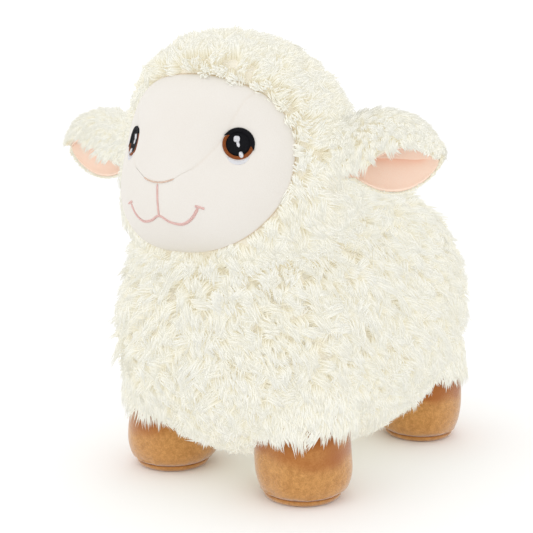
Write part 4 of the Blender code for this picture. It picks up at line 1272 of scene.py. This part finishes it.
earCoat = {
    "rows": 19,
    "columns": 34,
    "span": 1.15,
    "last": 0.985,
    "shakes": (0.35, 0.3),       # along the ear and round it, as shares of a step
    "pile": 0.0066,
    "lipShare": 0.12,
    "lipFade": 65.0,
    "thinning": 0.85,            # of the pile, under the ear's tip
    "thinEnds": (0.5, 0.9),
    "thinAngles": (-20, 70),
    "lie": (1.0, 0.0, -0.15),
    "lieWaver": (0.3, 0.03),
    "fringe": (0.72, 0.92),      # round the ear, from the lower lip to the upper one
    "fringeLie": (0.0, -0.3, -1.0),
    "fringeLieShare": 1.6,
    "topAngles": (20, 60),
    "underAngles": (-60, 25),
    "underLie": (-0.8, 0.6, 0.8),
    # What each place adds to a lock's height and reach
    "heights": {"top": 0.9, "tip": -0.3, "under": -0.5},
    "reaches": {"top": -0.2, "tip": -0.65, "under": -0.4, "fringe": 0.15},
}


def earShape(side, s, angle, offset):
    # A leaf that curls round its length. s runs from root to tip; the angle runs round the section
    root = jointPlace["ear_flap_" + ("left" if side > 0 else "right")]
    reach = boxOf("ear_back_left")[1][0] - jointPlace["ear_flap_left"][0]
    belly = ear["bellyShare"]
    early = 1 - (1 - ear["neckShare"]) * (np.clip(belly - np.maximum(s, 0), 0, None) / belly) ** 2
    late = (1 - (np.clip(s - belly, 0, 0.9999 - belly) / (1 - belly)) ** 2) ** ear["tipPower"]
    size = np.where(s < belly, early, late)
    deep = reach * ear["depthShare"] * size + offset
    tall = reach * ear["heightShare"] * size + offset
    out = reach * (ear["standOffShare"] + ear["lengthShare"] * s)
    return np.stack([side * out + 0 * angle, deep * np.cos(angle), tall * np.sin(angle)], -1) + root


def earAngle(s, share):
    # Round the section from the lower lip to the upper one, which curls in further towards the root
    low = math.radians(ear["lowerLip"])
    upper = np.radians(ear["upperLip"] + ear["rootCurl"] * (1 - smoothStep(s, -0.05, 0.75)))
    return low + (upper - low) * share


def earPile(amount, s, angle):
    # An amount of pile, less towards the lower lip and under the ear's tip
    fade = np.clip((angle - math.radians(ear["lowerLip"])) / math.radians(earCoat["lipFade"]), 0, 1)
    under = 1 - smoothStep(np.degrees(angle), *earCoat["thinAngles"])
    return amount * fade * (1 - earCoat["thinning"] * smoothStep(s, *earCoat["thinEnds"]) * under)


def earFold(s, angle):
    # The fold inside the ear: the upper flap hangs a little over the lower one
    fold = plateau(np.degrees(angle), *ear["foldAngles"]) * plateau(s, *ear["foldEnds"])
    return fold[..., None] * np.array(ear["fold"])


def foldedBand(side, s, shares, near, far):
    # A closed loop for each s, out along one offset and back along the other, with its angles
    angle = earAngle(s, shares)
    ring = np.concatenate([angle, angle[:, ::-1]], 1)
    offset = np.concatenate([far(angle), np.full(angle.shape, near)], 1)
    return earShape(side, s, ring, offset), ring


def earPart(name, word, place, look, node, marks=None):
    # A closed band of points as one piece of the ear
    points, faces, _ = bandMesh([(place, np.zeros(place.shape[:2] + (2,)), False)])
    mesh = closedMesh(name, points, faces, marks=marks)
    addObject(name + word, mesh, finish[look], "ear_" + word.lower(), [node + word.lower()])


def earLocks(side):
    # Rows of locks on the back of the ear, with a fringe that hangs from the upper lip
    coat, first = earCoat, ear["ends"][0]
    rng = np.random.default_rng(7 + side)
    net = np.meshgrid(np.arange(coat["rows"]), np.arange(coat["columns"]), indexing="ij")
    row, column = (part.ravel() for part in net)
    along, around = (rng.uniform(-shake, shake, row.size) for shake in coat["shakes"])
    along = np.clip(first + coat["span"] * (row + along) / (coat["rows"] - 1), first, coat["last"])
    share = np.clip((column + 0.5 * (row % 2) + around) / coat["columns"], 0.0, 1.0)
    angle = earAngle(along, share)
    full = coat["lipShare"] + earPile(1 - coat["lipShare"], along, angle)
    base = earLook["rooted"] + earPile(ear["base"], along, angle)
    place = earShape(side, along, angle, base)
    outward = earShape(side, along, angle, base + 0.01) - place
    lengthwise = unitRows(earShape(side, along + 1e-4, angle, base) - place)
    normal = unitRows(outward - (outward * lengthwise).sum(1, keepdims=True) * lengthwise)

    fringe = smoothStep(share, *coat["fringe"])
    top = smoothStep(np.degrees(angle), *coat["topAngles"]) * (1 - smoothStep(along, 0.0, 0.5))
    tip = smoothStep(along, 0.5, 1.0)
    under = 1 - smoothStep(np.degrees(angle), *coat["underAngles"])
    mirror = np.array([side, 1, 1])
    way = (mirror * coat["lie"] + (coat["fringeLieShare"] * fringe)[:, None] * np.array(coat["fringeLie"])
           + under[:, None] * (mirror * coat["underLie"])
           + coat["lieWaver"][0] * waveWays(place, coat["lieWaver"][1], 91))
    tall, long = coat["heights"], coat["reaches"]
    tall = (1 + tall["top"] * top * (1 - fringe) + tall["tip"] * tip) * (1 + tall["under"] * under)
    long = ((1 + long["tip"] * tip) * (1 + long["top"] * top) * (1 + long["fringe"] * fringe)
            * (1 + long["under"] * under))
    return {"place": place, "normal": normal, "lie": combed(normal, way),
            "height": (coat["pile"] - ear["base"]) * full * tall, "reach": full ** 1.5 * long}


def makeEars():
    # The back goes from the leaf out to its lower pile, and the lining lies a cloth's thickness inside,
    # with the fold
    even, close = ear["shares"]
    shares = np.sort(np.append(np.linspace(0, 1, even), np.linspace(*ear["foldShares"], close)))
    first, last = ear["ends"]
    s = (first + (last - first) * (1 - (1 - np.linspace(0, 1, ear["rows"])) ** ear["rowPower"]))[:, None]
    for side, word in sides:
        back, _ = foldedBand(side, s, shares[1:], ear["backGap"],
                             lambda angle: ear["leastBase"] + earPile(ear["base"], s, angle))
        earPart("earBack", word, back, "backing", "ear_back_")
        inside = s[:-1]
        lining, angle = foldedBand(side, inside, shares, -ear["cloth"], lambda angle: 0 * angle)
        degrees = np.degrees(angle)
        shade = np.exp(-(np.clip(2.0 - degrees, 0, None) / 14.0) ** 2) * (degrees < 3.0)
        mark = (ear["foldShade"] * shade * plateau(inside, 0.0, 0.2, 0.7, 0.9)
                + ear["rootShade"] * (1 - smoothStep(inside, -0.05, 0.12)))
        earPart("earLining", word, lining + earFold(inside, angle), "ear", "ear_lining_", mark)
        fleecePiece("earFleece" + word, "ear_" + word.lower(), ["ear_back_" + word.lower()],
                    earLocks(side), earLook, 95 + side)


makeEars()
print("ears made")


# Legs

leg = {
    "soleShare": 0.698,          # radii as shares of the widest one
    "seamShare": 0.811,
    "hipShare": 0.906,
    "seamHeight": 0.0042,
    "swellHeight": 0.018,
    "columns": 96,
    "floorHeight": 0.0028,       # underside of the cover, inside the sole
    "tuck": 0.0004,              # how far both edges turn in at the seam
    "pucker": 0.0003,
    "puckers": (11, 17, 23, 31),
    "puckerHeight": 0.004,
    "waver": (0.0006, 0.03),     # wavers are an amount and a length of wave
    "brushing": (0.005, 0.02),
    # Painted shade up under the fleece's hem: the heights over which it comes in, and how dark it gets
    "darkLevels": (0.020, 0.036),
    "darkShare": 0.9,
    "seamShade": (0.35, 0.0035, 0.0009),   # amount, height and width of the dark line at the seam
    "soleShade": (0.3, 0.0022, 0.0032),    # amount on the sole's rim, and the heights over which it comes in
    "soleRise": 0.0032,
    "soleLip": 0.0036,
    "soleTop": 0.0025,
}


def legProfile(hip, wide):
    # Up the cover: from its underside out to the seam, over the swell to the hip, and a dome on top
    seam, top = leg["seamShare"] * wide, leg["hipShare"] * wide
    low, swell, floor, tuck = leg["seamHeight"], leg["swellHeight"], leg["floorHeight"], leg["tuck"]
    bend, rise = np.linspace(0, math.pi / 2, 16), np.linspace(0, 1, 14)[1:]
    over = np.linspace(0, math.pi / 2, 12)[1:]
    return np.vstack([
        [[0.0, floor], [seam * 0.9, floor], [seam - tuck, low - tuck]],
        np.stack([seam + (wide - seam) * np.sin(bend), low + (swell - low) * (1 - np.cos(bend))], 1),
        np.stack([wide - (wide - top) * rise ** 2, swell + (hip[2] - swell) * rise], 1),
        np.stack([top * np.cos(over), hip[2] + top * np.sin(over)], 1)])


def soleProfile(wide):
    # A flat sole with a round edge, whose rim turns in at the seam
    sole, seam, inside = leg["soleShare"] * wide, leg["seamShare"] * wide, leg["soleTop"]
    bend = np.linspace(0, math.pi / 2, 8)
    edge = np.stack([sole + (seam - sole) * np.sin(bend), leg["soleRise"] * (1 - np.cos(bend))], 1)
    rim = [[seam - leg["tuck"], leg["soleLip"]], [seam * 0.8, inside], [0.0, inside]]
    return np.vstack([[[0.0, 0.0], [sole * 0.5, 0.0]], edge, rim])


def wavered(points, waver, seed):
    # Wave noise of a waver's amount and length
    return waver[0] * waveNoise(points, waver[1], seed)


def makeLegs():
    # Covers turned from their profile, puckered at the seam and a little uneven above it, and soles
    for name in legNames:
        hip, wide = legFrame(name)
        centre = hip * (1, 1, 0)
        word = "".join(part.capitalize() for part in name.split("_"))
        points, faces = lathe(legProfile(hip, wide), leg["columns"], centre)
        height = points[..., 2]
        rng = np.random.default_rng(sum(map(ord, name)))
        around = roundAngles(leg["columns"])
        pucker = sum(rng.uniform(0.3, 1) * np.sin(count * around + rng.uniform(0, 6.28))
                     for count in leg["puckers"]) / 2
        near = np.exp(-((height - leg["seamHeight"]) / leg["puckerHeight"]) ** 2) * (height > 0.003)
        away = unitRows((points - centre) * (1, 1, 0))
        points = points + away * (leg["pucker"] * pucker * near)[..., None]
        points = points + away * (wavered(points, leg["waver"], 3) * (height > 0.006))[..., None]
        # Painted shade: darker up under the fleece's hem, with a wavy edge, and a dark line at the seam
        hemShadeHeight = height + wavered(points, leg["brushing"], 4)
        amount, level, spread = leg["seamShade"]
        mark = (leg["darkShare"] * smoothStep(hemShadeHeight, *leg["darkLevels"])
                + amount * np.exp(-((height - level) / spread) ** 2))
        addObject("leg" + word, closedMesh("leg", points, faces, marks=mark), finish["foot"],
                  "leg_" + name, ["leg_cover_" + name, "leg_stuffing_" + name])
        points, faces = lathe(soleProfile(wide), leg["columns"], centre)
        mark = leg["soleShade"][0] * smoothStep(points[..., 2], *leg["soleShade"][1:])
        addObject("sole" + word, closedMesh("sole", points, faces, marks=mark), finish["foot"],
                  "leg_" + name, ["sole_" + name])
    print("legs made")


makeLegs()


# Tail and neck

tail = {"halfWidth": 0.0075, "halfDepth": 0.006, "pile": 0.0045, "hang": 25.0, "rooted": 0.002,
        "rootShare": 0.55, "swellShare": 0.45, "lie": (0.0, 0.5, -1.0)}
tailLook = {"spacing": 0.0034, "strands": 22, "radius": 0.0030, "reach": 0.006, "curl": 0.0008, "turns": 0.8,
            "draw": 0.5, "stray": 0.0005, "swing": 25.0, "width": 0.0009, "ridge": 0.6}
neck = {"seatGap": 0.0012, "floorGap": 0.0003, "bevel": 0.002, "columns": 48}


def makeTail():
    # A pad, and locks that hang over it
    root = jointPlace["tail_lift"]
    hang = math.radians(tail["hang"])
    along = np.array([0.0, math.cos(hang), -math.sin(hang)])
    up = np.array([0.0, math.sin(hang), math.cos(hang)])
    end = boxOf("tail_cover", "tail_stuffing")[1]
    length = (end[1] - root[1]) / math.cos(hang) - tail["pile"]

    def tailShape(units, inset):
        # An egg along the tail's line, narrow at its root
        t = (units[..., 2] + 1) / 2
        narrow = tail["rootShare"] + tail["swellShare"] * smoothStep(t, 0.0, 0.5)
        return (root + along * (t * length)[..., None] - along * tail["rooted"]
                + np.array([1.0, 0, 0]) * (units[..., 0] * narrow * (tail["halfWidth"] - inset))[..., None]
                + up * (units[..., 1] * narrow * (tail["halfDepth"] - inset))[..., None])

    units, faces = globe(32, 20)
    mesh = closedMesh("tailPadding", tailShape(units, 0.0), faces)
    addObject("tailPadding", mesh, finish["backing"], "tail", ["tail_stuffing"])
    units, place, normal = scatter(tailShape, 0.0, tailLook["spacing"], 13)
    locks = {"place": place, "normal": normal, "lie": combed(normal, np.array(tail["lie"]) + 0 * place),
             "height": np.full(len(place), tail["pile"]), "reach": np.ones(len(place))}
    fleecePiece("tailFleece", "tail", ["tail_cover"], locks, tailLook, 98)


def makeNeck():
    # The gathered cloth and filling between head and body: a dished pad, out of sight
    low, high = boxOf("neck_stuffing")
    radius, floor, bevel = (high[0] - low[0]) / 2, low[2] + neck["floorGap"], neck["bevel"]
    bend = np.linspace(0, math.asin(radius / headRadius), 8)
    seat = headRadius + neck["seatGap"]
    top = np.stack([seat * np.sin(bend), headCentre[2] - seat * np.cos(bend)], 1)
    profile = np.vstack([[[0.0, top[0, 1]]], top[2:],
                         [[radius, floor + bevel], [radius - bevel, floor], [0.0, floor]]])
    points, faces = lathe(profile, neck["columns"], headCentre * (1, 1, 0))
    mesh = closedMesh("neckPad", points, faces)
    addObject("neckPad", mesh, finish["backing"], "neck", ["neck_stuffing"])


makeTail()
makeNeck()
print("tail and neck made")


# Studio

studio = {
    "azimuth": 35.86,
    "elevation": 8.79,
    "distance": 0.642,
    "aside": -0.0241,
    "aimHeight": 0.1128,
    "aimForward": 0.0087,
    "lens": 70.85,
    "sensor": 36.0,
    "floor": (0.95, 0.95, 0.95),
    "floorHalf": 6.0,
    "world": 1.1,
    "lampAim": (0, 0, 0.12),
    # name, place, size, power and colour of each lamp
    "lamps": (("keyLamp", (-0.5, -1.3, 1.3), 1.2, 2.5, (1.0, 0.985, 0.96)),
              ("fillLamp", (1.5, -0.8, 0.8), 1.4, 1.5, (1.0, 1.0, 1.0)),
              ("backLamp", (-0.6, 1.4, 1.2), 1.2, 1.5, (0.98, 0.99, 1.0))),
}


def addCamera():
    # Turned and raised from straight ahead by its angles, at its distance from the aim
    side, rise = math.radians(studio["azimuth"]), math.radians(studio["elevation"])
    back = np.array([math.sin(side) * math.cos(rise), -math.cos(side) * math.cos(rise), math.sin(rise)])
    right = np.array([math.cos(side), math.sin(side), 0.0])
    aim = right * studio["aside"] + (0, -studio["aimForward"], studio["aimHeight"])
    data = bpy.data.cameras.new("camera")
    data.lens, data.sensor_width, data.sensor_fit = studio["lens"], studio["sensor"], "HORIZONTAL"
    camera = linkObject("camera", data)
    camera.location = aim + back * studio["distance"]
    camera.rotation_euler = (math.pi / 2 - rise, 0, side)
    bpy.context.scene.camera = camera


def addFloor():
    # A wide sheet of white paper under the feet
    half = studio["floorHalf"]
    mesh = bpy.data.meshes.new("floor")
    corners = [(-half, -half, 0), (half, -half, 0), (half, half, 0), (-half, half, 0)]
    mesh.from_pydata(corners, [], [(0, 1, 2, 3)])
    material, _, shader = newMaterial("floorPaper", 0.9)
    shader.inputs["Base Color"].default_value = (*studio["floor"], 1)
    mesh.materials.append(material)
    linkObject("floor", mesh)


def addLamp(name, place, size, power, colour):
    # A round lamp that points at the sheep
    data = bpy.data.lights.new(name, "AREA")
    data.shape, data.size, data.energy, data.color = "DISK", size, power, colour
    lamp = linkObject(name, data)
    lamp.location = place
    way = np.array(studio["lampAim"], float) - np.array(place, float)
    lamp.rotation_euler = (math.atan2(math.hypot(way[0], way[1]), -way[2]), 0, math.atan2(-way[0], way[1]))


def makeStudio():
    # An even white world and three soft lamps
    addCamera()
    addFloor()
    world = bpy.data.worlds.new("studio")
    world.use_nodes = True
    background = world.node_tree.nodes["Background"]
    background.inputs["Color"].default_value = (1.0, 1.0, 1.0, 1)
    background.inputs["Strength"].default_value = studio["world"]
    bpy.context.scene.world = world
    for lamp in studio["lamps"]:
        addLamp(*lamp)
    bpy.context.scene.view_settings.view_transform = "Standard"


makeStudio()
bpy.context.view_layer.update()
print("studio made")
